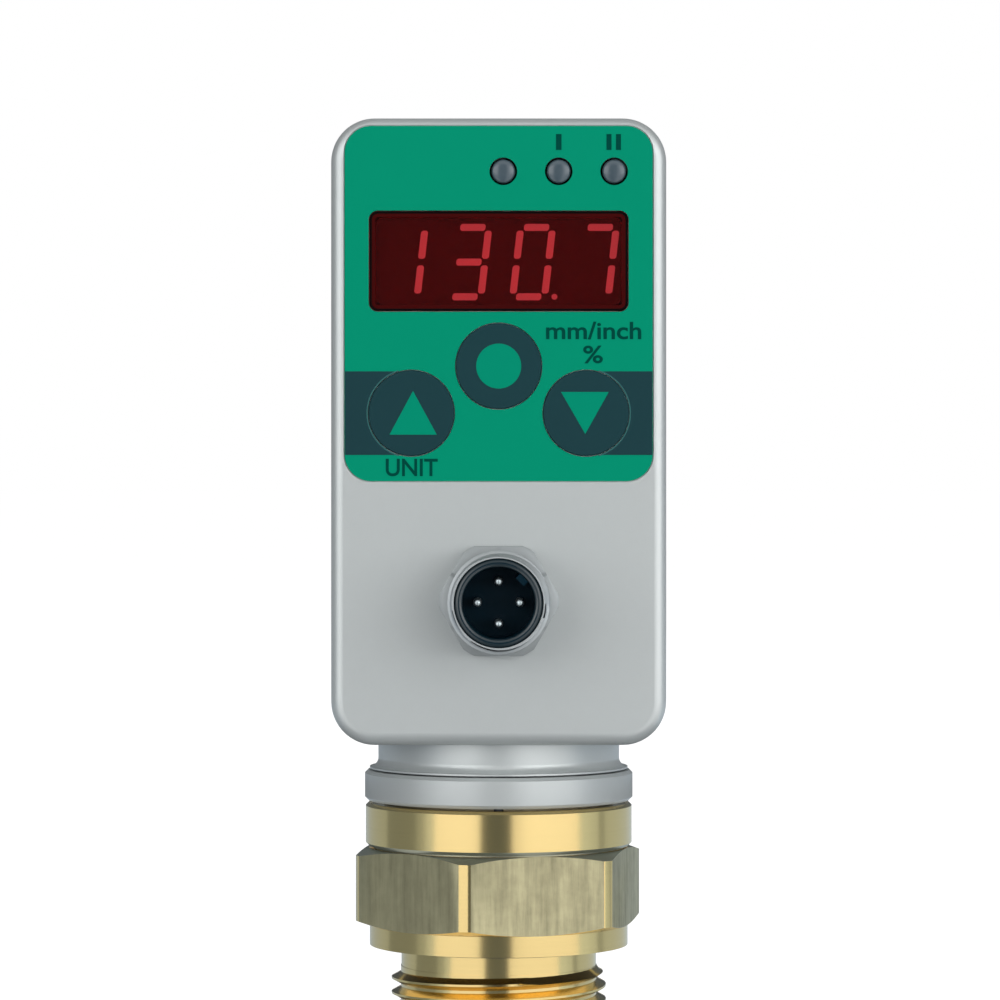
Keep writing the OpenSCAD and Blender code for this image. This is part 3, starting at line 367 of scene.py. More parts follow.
class Palette:
    """Builds the shared node groups once, and one material for each finish."""

    INPUTS = {"Vector": "Vector", "Color": "Color", "Tone": "Float", "Roughness": "Float",
              "Spread": "Float", "Cells": "Float"}
    OUTPUTS = {"Color": "Color", "Roughness": "Float", "Height": "Float"}
    # Slow patches under every pattern: scale as a share of the cells, and strength.
    PATCH_CELLS = 0.06
    PATCH_SHARE = 0.5
    # Paint: strength of the flake, and scale of the casting's roll per metre.
    FLAKE_SHARE = 0.45
    ROLL_CELLS = 700.0
    # Drawn bar: stretch of the streaks, scale of the blotches, strength, contrast, offset.
    STRETCH = (1.4, 1.4, 0.12)
    BLOTCH_CELLS = 0.8
    STREAK_SHARE = 0.7
    GAIN = 2.6
    OFFSET = -0.8
    COAT_ROUGHNESS = 0.12

    def __init__(self) -> None:
        """Starts with no groups and no materials."""
        self.groups: dict[Texture, NodeTree] = {}
        self.materials: dict[str, Material] = {}

    def group(self, texture: Texture) -> NodeTree:
        """Gives the node group of a texture, built on first use.

        Args:
            texture: the texture wanted.

        Returns:
            The node group.
        """
        if texture not in self.groups:
            made = bpy.data.node_groups.new(texture.value, "ShaderNodeTree")
            for way, sockets in (("INPUT", self.INPUTS), ("OUTPUT", self.OUTPUTS)):
                for name, kind in sockets.items():
                    made.interface.new_socket(name, in_out=way, socket_type="NodeSocket" + kind)
            self._fill(Tree(made), texture)
            self.groups[texture] = made
        return self.groups[texture]

    def _fill(self, tree: Tree, texture: Texture) -> None:
        """Puts the nodes of one texture in its group.

        Args:
            tree: the group's tree.
            texture: the texture to build.
        """
        given = tree.add("NodeGroupInput").outputs
        result = tree.add("NodeGroupOutput").inputs
        pattern = {
            Texture.GRAIN: self._grain,
            Texture.FLAKE: self._flake,
            Texture.LATHE: self._lathe,
            Texture.STREAK: self._streak,
            Texture.WEAVE: self._weave,
        }[texture](tree, given)
        wide = tree.math("MULTIPLY", given["Cells"], self.PATCH_CELLS)
        slow = tree.texture("TexNoise", given["Vector"], wide, Detail=3.0)
        patch = tree.blend(slow.outputs[0], pattern, self.PATCH_SHARE)
        shade = tree.math("SUBTRACT", 1.0, tree.math("MULTIPLY", patch, given["Tone"]))
        dark = tree.add("Mix", data_type="RGBA", blend_type="MULTIPLY")
        dark.inputs[0].default_value = 1.0
        grey = tree.add("CombineColor")
        for socket in grey.inputs:
            tree.link(shade, socket)
        tree.link(given["Color"], dark.inputs[6])
        tree.link(grey.outputs[0], dark.inputs[7])
        tree.link(dark.outputs[2], result["Color"])
        drift = tree.math("MULTIPLY", tree.math("SUBTRACT", patch, 0.5), given["Spread"])
        tree.link(tree.math("ADD", given["Roughness"], drift), result["Roughness"])
        tree.link(pattern, result["Height"])

    def _grain(self, tree: Tree, given: object) -> NodeSocket:
        """Fine even grain of moulded plastic, film and rubber."""
        return tree.texture("TexNoise", given["Vector"], given["Cells"],
                            Detail=4.0, Roughness=0.6).outputs[0]

    def _flake(self, tree: Tree, given: object) -> NodeSocket:
        """Metal flake in paint over a slightly rolling casting.

        Args:
            tree: the group's tree.
            given: the group's inputs.

        Returns:
            The pattern.
        """
        cells = tree.texture("TexVoronoi", given["Vector"], given["Cells"])
        grey = tree.add("SeparateColor")
        tree.link(cells.outputs["Color"], grey.inputs[0])
        roll = tree.texture("TexNoise", given["Vector"], self.ROLL_CELLS, Detail=2.0)
        return tree.blend(grey.outputs[0], roll.outputs[0], self.FLAKE_SHARE)

    def _lathe(self, tree: Tree, given: object) -> NodeSocket:
        """Fine rings left by turning, around the vector's Z.

        Args:
            tree: the group's tree.
            given: the group's inputs.

        Returns:
            The pattern.
        """
        parts = tree.add("SeparateXYZ")
        tree.link(given["Vector"], parts.inputs[0])
        square = tree.math("ADD", tree.math("MULTIPLY", parts.outputs[0], parts.outputs[0]),
                           tree.math("MULTIPLY", parts.outputs[1], parts.outputs[1]))
        along = tree.math("ADD", tree.math("SQRT", square), parts.outputs[2])
        rings = tree.add("TexNoise", noise_dimensions="1D", Detail=4.0, Roughness=0.7)
        tree.link(along, rings.inputs["W"])
        tree.link(given["Cells"], rings.inputs["Scale"])
        return rings.outputs[0]

    def _streak(self, tree: Tree, given: object) -> NodeSocket:
        """Streaks along Z of drawn bar, with mottling.

        Args:
            tree: the group's tree.
            given: the group's inputs.

        Returns:
            The pattern.
        """
        stretch = tree.add("Mapping", Scale=self.STRETCH)
        tree.link(given["Vector"], stretch.inputs["Vector"])
        lines = tree.texture("TexNoise", stretch.outputs[0], given["Cells"],
                             Detail=6.0, Roughness=0.65)
        wide = tree.math("MULTIPLY", given["Cells"], self.BLOTCH_CELLS)
        blotch = tree.texture("TexNoise", given["Vector"], wide, Detail=5.0, Roughness=0.6)
        both = tree.blend(lines.outputs[0], blotch.outputs[0], self.STREAK_SHARE)
        strong = tree.math("ADD", tree.math("MULTIPLY", both, self.GAIN), self.OFFSET)
        return tree.math("MINIMUM", tree.math("MAXIMUM", strong, 0.0), 1.0)

    def _weave(self, tree: Tree, given: object) -> NodeSocket:
        """Crossed glass threads that show through a board's mask."""
        return tree.math("MULTIPLY", *(
            tree.texture("TexWave", given["Vector"], given["Cells"],
                         bands_direction=direction).outputs["Fac"]
            for direction in ("X", "Z")))

    def material(self, finish: Finish) -> Material:
        """Gives the material of a finish, built on first use.

        Args:
            finish: the finish wanted.

        Returns:
            The material.
        """
        if finish.name in self.materials:
            return self.materials[finish.name]
        made, tree = new_material(finish.name)
        shader = made.node_tree.nodes["Principled BSDF"]
        tree.tune(shader, Metallic=finish.metallic, IOR=finish.ior,
                  Specular_IOR_Level=finish.specular, Coat_Weight=finish.coat,
                  Coat_Roughness=self.COAT_ROUGHNESS, Transmission_Weight=finish.transmission)
        place = tree.add("TexCoord").outputs["Object"]
        if finish.axis is Axis.PLUG:
            # The marks' middle lies below the plug, so they cross it as flat arcs.
            turn = tree.add("Mapping", Location=(0.0, -PLUG_HEIGHT, 0.0),
                            Rotation=(math.pi / 2, 0.0, 0.0))
            tree.link(place, turn.inputs["Vector"])
            place = turn.outputs[0]
        effect = tree.add("Group", node_tree=self.group(finish.texture),
                          Color=(*finish.color, 1.0), Tone=finish.tone,
                          Roughness=finish.roughness, Spread=finish.spread, Cells=finish.cells)
        tree.link(place, effect.inputs["Vector"])
        bump = tree.add("Bump", Distance=finish.relief, Strength=1.0)
        tree.link(effect.outputs["Height"], bump.inputs["Height"])
        tree.link(effect.outputs["Color"], shader.inputs["Base Color"])
        tree.link(effect.outputs["Roughness"], shader.inputs["Roughness"])
        tree.link(bump.outputs[0], shader.inputs["Normal"])
        if finish.glow:
            tree.link(effect.outputs["Color"], shader.inputs["Emission Color"])
            shader.inputs["Emission Strength"].default_value = finish.glow
        made.diffuse_color = (*finish.color, 1.0)
        self.materials[finish.name] = made
        return made


class Workshop:
    """Dresses the CAD nodes and adds new pieces, and reports each one."""

    def __init__(self, nodes: dict[str, Object]) -> None:
        """Starts the palette.

        Args:
            nodes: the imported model's objects by name.
        """
        self.nodes = nodes
        self.palette = Palette()
        self.undressed = set(nodes)

    def dress(self, finish: Finish, *names: str) -> None:
        """Gives CAD nodes a finish.

        Args:
            finish: the finish to put on.
            *names: the nodes' names.
        """
        for name in names:
            node = self.nodes[name]
            for place in node.material_slots:
                place.material = self.palette.material(finish)
            self.undressed.discard(name)
            log.info("node %s: %s", name, finish.name)

    def add(self, name: str, shape: BMesh, body: Body, *finishes: Finish) -> Object:
        """Makes a finished shape a piece that rides on a body.

        Args:
            name: the piece's name.
            shape: its mesh, in place; it is freed here.
            body: the body it rides on.
            *finishes: its finishes in the order of its faces' material numbers.

        Returns:
            The new object.
        """
        bmesh.ops.recalc_face_normals(shape, faces=shape.faces)
        for face in shape.faces:
            face.smooth = True
        mesh = settle(name, shape)
        if "custom_normal" in mesh.attributes:
            mesh.attributes.remove(mesh.attributes["custom_normal"])
        mesh.set_sharp_from_angle(angle=SHARP_ANGLE)
        for finish in finishes:
            mesh.materials.append(self.palette.material(finish))
        piece = put(name, mesh)
        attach(piece, body.value)
        log.info("piece %s on %s: %d faces", name, body.value, len(mesh.polygons))
        return piece

    def copy_of(self, name: str) -> BMesh:
        """Gives a copy of a CAD node's mesh with its points merged.

        Args:
            name: the node's name.

        Returns:
            The copy.
        """
        shape = bmesh.new()
        shape.from_mesh(self.nodes[name].data)
        bmesh.ops.remove_doubles(shape, verts=shape.verts, dist=WELD)
        return shape


@dataclass
class InkAndPaintedLight:
    """Flat shapes a few hundredths of a millimetre thick: print on the film and the keys, a
    painted highlight by each side key and painted shade along the window's edge.

    Attributes:
        thickness: how far the ink stands off its carrier.
        pinhole: radius of the hole that a disc is spun around and then closed.
    """

    shop: Workshop
    thickness: float = 0.03 * MM
    pinhole: float = 0.001 * MM

    def lay(self, name: str, shape: BMesh, y: float, finish: Finish,
            body: Body = Body.HEAD) -> None:
        """Adds flat faces as a thin layer that stands off its carrier towards the viewer.

        Args:
            name: the piece's name.
            shape: flat faces, drawn at y = 0.
            y: depth of the carrier's surface.
            finish: the ink's finish.
            body: the body it rides on.
        """
        shift(shape, 0.0, y, 0.0)
        grown = bmesh.ops.extrude_face_region(shape, geom=list(shape.faces), use_keep_orig=True)
        bmesh.ops.translate(shape, verts=grown_verts(grown), vec=(0.0, -self.thickness, 0.0))
        self.shop.add(name, shape, body, finish)

    def outline(self, points: list[tuple[float, float]]) -> BMesh:
        """Gives one flat face through a few points.

        Args:
            points: corners as x and z in millimetres, in order.

        Returns:
            The flat mesh at y = 0.
        """
        shape = bmesh.new()
        corners = [shape.verts.new((x * MM, 0.0, z * MM)) for x, z in points]
        bmesh.ops.contextual_create(shape, geom=corners)
        return shape

    def disc(self, x: float, z: float, radius: float) -> BMesh:
        """A flat disc.

        Args:
            x: its middle, in millimetres.
            z: its middle, in millimetres.
            radius: its radius in millimetres.

        Returns:
            The flat mesh at y = 0.
        """
        shape = bmesh.new()
        first = shape.verts.new((self.pinhole, 0.0, 0.0))
        second = shape.verts.new((radius * MM, 0.0, 0.0))
        edge = shape.edges.new((first, second))
        bmesh.ops.spin(shape, geom=[first, second, edge], cent=(0, 0, 0), axis=(0, 1, 0),
                       angle=2 * math.pi, steps=CIRCLE_STEPS, use_merge=True)
        middle = [v for v in shape.verts if v.co.length < radius * MM / 2]
        bmesh.ops.pointmerge(shape, verts=middle, merge_co=(0, 0, 0))
        shift(shape, x * MM, 0.0, z * MM)
        return shape


@dataclass
class KeypadFilm:
    """The film with what is printed on it, a painted highlight along each side key's edge, painted
    shade along the window's edge, and the three keys in its openings.

    A length is in millimetres where its value isn't given with MM.

    Attributes:
        surface: depth of the film's face.
        key_rise: how far the keys stand out of the film.
        key_r: radius of a key.
        key_gap: gap around a key.
        side_keys: middle of the up key and of the down key.
        set_key: middle of the centre key.
        band_half: half the height of the dark bands.
        line_w: width of the painted highlight line between band and key.
        edge_x: half the film's width.
        line_rise: how far the painted highlight stands over the band.
        disc_r: radius of the centre key's disc.
        pane_corner: radius of the pane's corners.
    """

    # Radius of a lamp's lens, its height as a share of that, and how deep its middle lies.
    LENS_R, LENS_BULGE, LENS_SINK = 1.32, 0.25, 0.02 * MM
    # Size of the letters, how much bolder they are than the font, and where points merge.
    LETTER_H, LETTER_WEIGHT, WELD = 2.9 * MM, 0.05 * MM, 0.0005 * MM

    shop: Workshop
    ink_and_painted_light: InkAndPaintedLight
    surface: float = -17.9 * MM
    key_rise: float = 0.15 * MM
    key_r: float = 5.1
    key_gap: float = 0.1
    side_keys: tuple[tuple[float, float], ...] = ((-10.4, 65.1), (10.4, 65.1))
    set_key: tuple[float, float] = (0.0, 70.7)
    band_half: float = 4.98
    line_w: float = 0.14
    edge_x: float = 18.3
    line_rise: float = 0.01 * MM
    disc_r: float = 2.68
    pane_corner: float = 1.0 * MM

    def build(self) -> None:
        """Dresses the film and keys, prints on them, and paints a highlight by each side key and
        shade along the window's edge.
        """
        self.shop.dress(GREEN_FILM, "keypad_film")
        self.shop.dress(TEAL_INK, "key_up", "key_down", "key_set")
        self.bands()
        self.arrows()
        self.centre_disc()
        self.lamp_bars()
        self.lenses()
        self.window_border()
        self.unit_marks()

    def arc(self, side: int) -> BMesh:
        """Row of edges along a side key's opening, where the dark band meets it.

        Args:
            side: -1 for the left key, 1 for the right key.

        Returns:
            The edges, centred on the key.
        """
        hole = (self.key_r + self.key_gap) * MM
        half = math.asin(self.band_half * MM / hole)
        shape = bmesh.new()
        start = shape.verts.new((side * math.cos(half) * hole, 0.0, math.sin(half) * hole))
        bmesh.ops.spin(shape, geom=[start], cent=(0, 0, 0), axis=(0, side, 0),
                       angle=2 * half, steps=CIRCLE_STEPS // 2)
        return shape

    def bands(self) -> None:
        """Dark bands from the film's edges to the side keys, with a thin painted highlight along
        each key's edge.
        """
        for name, (x, z), side in zip(("left", "right"), self.side_keys, (-1, 1)):
            # The line is a painted highlight along the key's edge, laid just over the band.
            for kind, finish, rise in (("band", TEAL_INK, 0.0),
                                       ("line", KEY_EDGE_HIGHLIGHT, self.line_rise)):
                shape = self.arc(side)
                grown = bmesh.ops.extrude_edge_only(shape, edges=list(shape.edges))
                for vert in grown_verts(grown):
                    if kind == "band":
                        vert.co.x = side * self.edge_x * MM - x * MM
                    else:
                        vert.co *= 1 + self.line_w / self.key_r
                shift(shape, x * MM, 0.0, z * MM)
                self.ink_and_painted_light.lay(f"{kind}_{name}", shape, self.surface - rise, finish)

    def arrows(self) -> None:
        """Green arrows on the side keys, one up and one down."""
        for name, body, corners in (
                ("arrow_up", Body.UP_KEY, [(-13.0, 62.54), (-7.37, 62.54), (-10.2, 67.74)]),
                ("arrow_down", Body.DOWN_KEY, [(7.42, 67.62), (13.1, 67.62), (10.3, 62.62)])):
            self.ink_and_painted_light.lay(name, self.ink_and_painted_light.outline(corners), self.surface - self.key_rise,
                         GREEN_INK, body)

    def centre_disc(self) -> None:
        """Green disc on the centre key, which leaves a dark ring."""
        self.ink_and_painted_light.lay("centre_disc", self.ink_and_painted_light.disc(*self.set_key, self.disc_r),
                     self.surface - self.key_rise, GREEN_INK, Body.SET_KEY)

    def lamp_bars(self) -> None:
        """One bar above the second lamp and two above the third."""
        low, high = 96.43, 98.33
        sides = ((6.82, 7.48), (12.83, 13.43), (13.96, 14.56))
        for number, (left, right) in enumerate(sides, 1):
            bar = self.ink_and_painted_light.outline([(left, low), (right, low), (right, high), (left, high)])
            self.ink_and_painted_light.lay(f"lamp_bar_{number}", bar, self.surface, DEEP_GREEN_INK)

    def lenses(self) -> None:
        """Low domes on the three light pipes."""
        low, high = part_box("light_pipes")
        for number, x in enumerate((0.55, 7.15, 13.75), 1):
            shape = bmesh.new()
            bmesh.ops.create_uvsphere(shape, u_segments=40, v_segments=20,
                                      radius=self.LENS_R * MM)
            bmesh.ops.scale(shape, verts=shape.verts, vec=(1.0, self.LENS_BULGE, 1.0))
            shift(shape, x * MM, low.y + self.LENS_SINK, (low.z + high.z) / 2)
            self.shop.add(f"lamp_lens_{number}", shape, Body.HEAD, SMOKY)

    def window_border(self) -> None:
        """Black line just inside the pane's edge, and inside it a dark red band of painted shade
        along the window's edge.
        """
        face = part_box("display_window")[0].y
        # The red band is painted shade along the window's edge, seen through the pane.
        for name, finish, start, width in (("window_border", PANE_EDGE_BLACK, 0.05, 0.25),
                                           ("window_shade_band", WINDOW_EDGE_SHADE, 0.3, 0.42)):
            self.ink_and_painted_light.lay(name, self.pane_ring(start * MM, width * MM), face, finish)

    def pane_ring(self, start: float, width: float) -> BMesh:
        """A flat ring along the pane's edge.

        Args:
            start: how far inside the edge it starts.
            width: its width.

        Returns:
            The flat mesh at y = 0.
        """
        low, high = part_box("display_window")
        middle = (low + high) / 2
        shape = bmesh.new()
        bmesh.ops.create_grid(shape, x_segments=1, y_segments=1, size=0.5)
        bmesh.ops.rotate(shape, verts=shape.verts, matrix=UPRIGHT)
        bmesh.ops.scale(shape, verts=shape.verts,
                        vec=(high.x - low.x - 2 * start, 1.0, high.z - low.z - 2 * start))
        bmesh.ops.bevel(shape, geom=shape.verts, offset=self.pane_corner - start,
                        affect="VERTICES", segments=6, profile=0.5, material=-1)
        inner = bmesh.ops.inset_region(shape, faces=list(shape.faces), thickness=width,
                                       use_boundary=True, use_even_offset=True)
        rim = set(inner["faces"])
        rest = [face for face in shape.faces if face not in rim]
        bmesh.ops.delete(shape, geom=rest, context="FACES_ONLY")
        shift(shape, middle.x, 0.0, middle.z)
        return shape

    def unit_marks(self) -> None:
        """Plain marks of the units beside the keys."""
        for name, words, x, z, width in (("mark_length", "mm/inch", 5.63, 73.95, 11.35),
                                         ("mark_percent", "%", 10.05, 71.1, 2.35),
                                         ("mark_unit", "UNIT", -13.45, 57.65, 6.2)):
            font = bpy.data.curves.new(name, "FONT")
            font.body = words
            font.size = self.LETTER_H
            font.offset = self.LETTER_WEIGHT
            draft = put(name + "_draft", font)
            mesh = bpy.data.meshes.new_from_object(draft)
            bpy.data.objects.remove(draft)
            shape = bmesh.new()
            shape.from_mesh(mesh)
            bpy.data.meshes.remove(mesh)
            bmesh.ops.remove_doubles(shape, verts=shape.verts, dist=self.WELD)
            low = min(v.co.x for v in shape.verts)
            span = max(v.co.x for v in shape.verts) - low
            shift(shape, -low, 0.0, 0.0)
            bmesh.ops.scale(shape, verts=shape.verts, vec=(width * MM / span, 1.0, 1.0))
            bmesh.ops.rotate(shape, verts=shape.verts, matrix=UPRIGHT)
            shift(shape, x * MM, 0.0, z * MM)
            self.ink_and_painted_light.lay(name, shape, self.surface, DEEP_GREEN_INK)


@dataclass
class Thread:
    """A helical ridge on a root cylinder.

    Lengths are in millimetres.

    Attributes:
        outer: radius over the crests.
        root: radius at the root.
        pitch: distance between crests.
        start: first turn's place along the axis.
        length: length of the ridge along the axis.
        tip: place along the axis of the thread's free end.
        tip_r: radius at the free end, where the chamfer starts.
    """

    # Half widths of the ridge and length of its run-out, in pitches.
    CREST, FLANK, FOOT = 0.07, 0.36, 0.44
    FADE = 0.35
    # Fillet as a share of the height, depth of the foot under the root, gap at the tip.
    FILLET = 0.15
    SUNK = 0.1
    CLEAR = 0.02

    outer: float
    root: float
    pitch: float
    start: float
    length: float
    tip: float
    tip_r: float

    def ridge(self, steps: int = 48) -> BMesh:
        """Makes the ridge around +Z by one helical spin.

        Args:
            steps: steps of a turn.

        Returns:
            The closed ridge, with its foot inside the root cylinder.
        """
        turns = self.length / self.pitch
        shape = bmesh.new()
        height = self.outer - self.root
        half = ((self.root - self.SUNK, self.FOOT),
                (self.root + self.FILLET * height, self.FLANK), (self.outer, self.CREST))
        profile = [(r, -w) for r, w in half] + [(r, w) for r, w in reversed(half)]
        verts = [shape.verts.new((r * MM, 0.0, (self.start + w * self.pitch) * MM))
                 for r, w in profile]
        edges = [shape.edges.new(pair) for pair in zip(verts, verts[1:] + verts[:1])]
        count = round(turns * steps)
        bmesh.ops.spin(shape, geom=verts + edges, cent=(0, 0, 0), axis=(0, 0, 1),
                       angle=turns * 2 * math.pi, steps=count,
                       dvec=(0.0, 0.0, self.length * MM / count))
        self._run_out(shape)
        bmesh.ops.holes_fill(shape, edges=[e for e in shape.edges if e.is_boundary], sides=0)
        return shape

    def _run_out(self, shape: BMesh) -> None:
        """Lets the ridge fade into the root at both ends and under the chamfer.

        Args:
            shape: the ridge.
        """
        fade = self.FADE * self.pitch
        for vert in shape.verts:
            r = math.hypot(vert.co.x, vert.co.y)
            along = vert.co.z / MM
            near = min(along - self.start, self.start + self.length - along)
            room = self.root + max(0.0, min(1.0, near / fade)) * (self.outer - self.root)
            cone = self.tip_r + abs(along - self.tip)
            most = min(room, cone) * MM
            if r > most:
                vert.co.x *= most / r
                vert.co.y *= most / r
            vert.co.z = max(vert.co.z, (self.tip + self.CLEAR) * MM)


@dataclass
class Fitting:
    """The brass screw-in fitting with its seals and swivel parts.

    Lengths are in millimetres.

    Attributes:
        hex_low: lower end of the hexagon.
        hex_high: upper end of the hexagon.
        hex_af: width across the hexagon's flats.
        bevel_low: height that the hexagon's upper bevel stays over.
        groove: height of the groove and the bevel under the collar.
        thread_end: lower end of the thread.
        thread_bevel: height of the bevel at that end.
        thread_top: height that the thread's ridges stay under.
    """

    # How far a place and a normal may be off, and width of the hexagon's upper bevel.
    SLACK = 0.05
    SLOPE = 0.02
    BEVEL_W = 1.5

    shop: Workshop
    hex_low: float = 2.5
    hex_high: float = 12.0
    hex_af: float = 32.0
    bevel_low: float = 11.2
    groove: float = 0.62
    thread_end: float = -16.0
    thread_bevel: float = 1.3
    thread_top: float = -2.0
    thread: Thread = field(default_factory=lambda: Thread(
        outer=13.22, root=12.06, pitch=1.814, start=-15.91, length=13.0, tip=-16.0, tip_r=11.92))

    def build(self) -> None:
        """Dresses the fitting and puts its thread on."""
        self.shop.dress(TURNED_BRASS, "process_connection")
        self.shop.dress(RUBBER, "face_seal", "swivel_oring")
        self.shop.dress(BLACK_PLASTIC, "lead_through")
        self.shop.dress(WHITE_PLASTIC, "slide_washer")
        self.shop.dress(BLACKED_STEEL, "stop_pin")
        self.shop.dress(STEEL, "retaining_ring")
        self.turned_piece()

    def turned_piece(self) -> None:
        """Copies the turned piece and gives it a helical thread in place of its rings."""
        shape = self.shop.copy_of("process_connection")
        root = self.thread.root
        for vert in shape.verts:
            r = math.hypot(vert.co.x, vert.co.y) / MM
            z = vert.co.z / MM
            if z < self.thread_top and r > root + self.SLACK:
                vert.co.x *= root / r
                vert.co.y *= root / r
                if z < self.thread_end + self.thread_bevel + self.SLACK:
                    vert.co.z = (self.thread_end + root - self.thread.tip_r) * MM
        flatten(shape)
        finishes = (TURNED_BRASS, DRAWN_BRASS, COLLAR_SHADE_BRASS)
        for face in shape.faces:
            face.material_index = finishes.index(self._finish(face))
        join(shape, self.thread.ridge())
        piece = self.shop.add("turned_fitting", shape, Body.FITTING, *finishes)
        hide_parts("process_connection")

    def _finish(self, face: BMFace) -> Finish:
        """Tells which finish a face of the turned piece gets.

        Args:
            face: a face of the copy.

        Returns:
            The drawn finish for the hexagon's flats, a darker, greyer brass as painted shade for
            its upper bevel and the groove over it under the collar, and the turned one for the
            rest.
        """
        middle = face.calc_center_median() / MM
        reach = math.hypot(middle.x, middle.y)
        if (abs(face.normal.z) < self.SLOPE and self.hex_low < middle.z < self.hex_high
                and abs(reach - self.hex_af / 2) < self.SLACK):
            return DRAWN_BRASS
        if (self.bevel_low < middle.z < self.hex_high + self.groove
                and reach > self.hex_af / 2 - self.BEVEL_W):
            return COLLAR_SHADE_BRASS
        return TURNED_BRASS


@dataclass
class Plug:
    """The four-pole plug connector on the front.

    A length is in millimetres where its value isn't given with MM.

    Attributes:
        height: height of its axis.
        mouth: depth of its open end.
        hexagon: depth of its hexagon's face.
        collar_r: outer radius of the insert's collar.
        cavity_r: radius of the insert's cavity.
        collar_round: rounding of the collar's outer edge.
        cavity_round: rounding of the cavity's edge.
    """

    # How far a point may be off the thread's wall and off an edge of the insert.
    SLACK = 0.03
    EDGE = 0.02
    # How far the wall reaches behind the hexagon's face, and where its mouth end begins.
    FOOT = 0.2
    TIP = 2.0

    shop: Workshop
    height: float = PLUG_HEIGHT
    mouth: float = -29.0
    hexagon: float = -20.4
    collar_r: float = 5.24
    cavity_r: float = 4.22
    collar_round: float = 0.5
    cavity_round: float = 0.42
    thread: Thread = field(default_factory=lambda: Thread(
        outer=6.0, root=5.42, pitch=1.0, start=-0.4, length=8.1, tip=0.0, tip_r=5.4))

    def build(self) -> None:
        """Dresses the connector and puts its thread on."""
        self.shop.dress(DULL_NICKEL, "connector_sleeve", "connector_nut")
        self.shop.dress(CONTACT_PLATING, "contact_pins")
        self.shop.dress(RUBBER, "connector_seal")
        self.shop.dress(LEAD_BROWN, "connector_leads")
        self.sleeve()
        self.insert()

    def sleeve(self) -> None:
        """Copies the sleeve and cuts its thread."""
        shape = self.shop.copy_of("connector_sleeve")
        outer, root = self.thread.outer, self.thread.root
        for vert in shape.verts:
            r = math.hypot(vert.co.x, vert.co.z - self.height) / MM
            y = vert.co.y / MM
            if abs(r - outer) < self.SLACK and y < self.hexagon + self.FOOT:
                vert.co.x *= root / r
                vert.co.z = self.height + (vert.co.z - self.height) * root / r
                if y < self.hexagon - self.TIP:
                    vert.co.y = (self.mouth + root - self.thread.tip_r) * MM
        ridge = self.thread.ridge(40)
        turn = Matrix.Rotation(-math.pi / 2, 4, "X")
        turn.translation = Vector((0.0, self.mouth * MM, self.height))
        bmesh.ops.transform(ridge, matrix=turn, verts=ridge.verts)
        join(shape, ridge)
        for face in shape.faces:
            face.material_index = int(face.calc_center_median().y > (self.hexagon - 0.1) * MM)
        piece = self.shop.add("threaded_sleeve", shape, Body.HEAD, DULL_NICKEL, MATT_NICKEL)
        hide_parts("connector_sleeve")

    def insert(self) -> None:
        """Copies the insert, rounds the edges of its open end, and paints a highlight on its rim
        and shade in its cavity.
        """
        shape = self.shop.copy_of("connector_insert")
        flatten(shape)
        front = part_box("connector_insert")[0].y
        for radius, offset in ((self.collar_r, self.collar_round),
                               (self.cavity_r, self.cavity_round)):
            rim = [edge for edge in shape.edges if all(
                max(abs(vert.co.y - front), abs(math.hypot(
                    vert.co.x, vert.co.z - self.height) - radius * MM)) < self.EDGE * MM
                for vert in edge.verts)]
            bmesh.ops.bevel(shape, geom=rim, offset=offset * MM, affect="EDGES", segments=5,
                            profile=0.5, material=-1)
        # The rim gets the lighter, glossier copy as painted highlight; the cavity and the rest the
        # darker copy as painted shade.
        for face in shape.faces:
            middle = face.calc_center_median()
            reach = math.hypot(middle.x, middle.z - self.height) / MM
            face.material_index = int(middle.y < front + self.collar_round * MM
                                      and reach > self.cavity_r - 0.01)
        piece = self.shop.add("rounded_insert", shape, Body.HEAD, INSERT_BLACK, INSERT_RIM_SHEEN)
        self.shop.undressed.discard("connector_insert")
        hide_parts("connector_insert")


@dataclass
class Head:
    """Castings, display and electronics of the head."""

    shop: Workshop

    def build(self) -> None:
        """Dresses every node of the head that has no class of its own."""
        self.shop.dress(SILVER_PAINT, "housing", "swivel_ring", "rear_cover")
        self.shop.dress(RUBBER, "cover_gasket")
        self.shop.dress(STEEL, "cover_screws", "board_screws", "key_switches")
        self.shop.dress(RED_PANE, "display_window")
        self.shop.dress(BLACK_PLASTIC, "board_header", "board_parts", "probe_lead",
                        "plunger_up", "plunger_down", "plunger_set")
        self.shop.dress(DARK_MODULE, "display_module")
        self.shop.dress(LIT_RED, "lit_segments")
        self.shop.dress(DARK_RED, "dark_segments")
        self.shop.dress(SMOKY, "light_pipes")
        self.shop.dress(WHITE_PLASTIC, "indicator_diodes", "lead_socket")
        self.shop.dress(LAMINATE, "display_board", "main_board")
        self.shop.dress(TURNED_BRASS, "board_spacers")


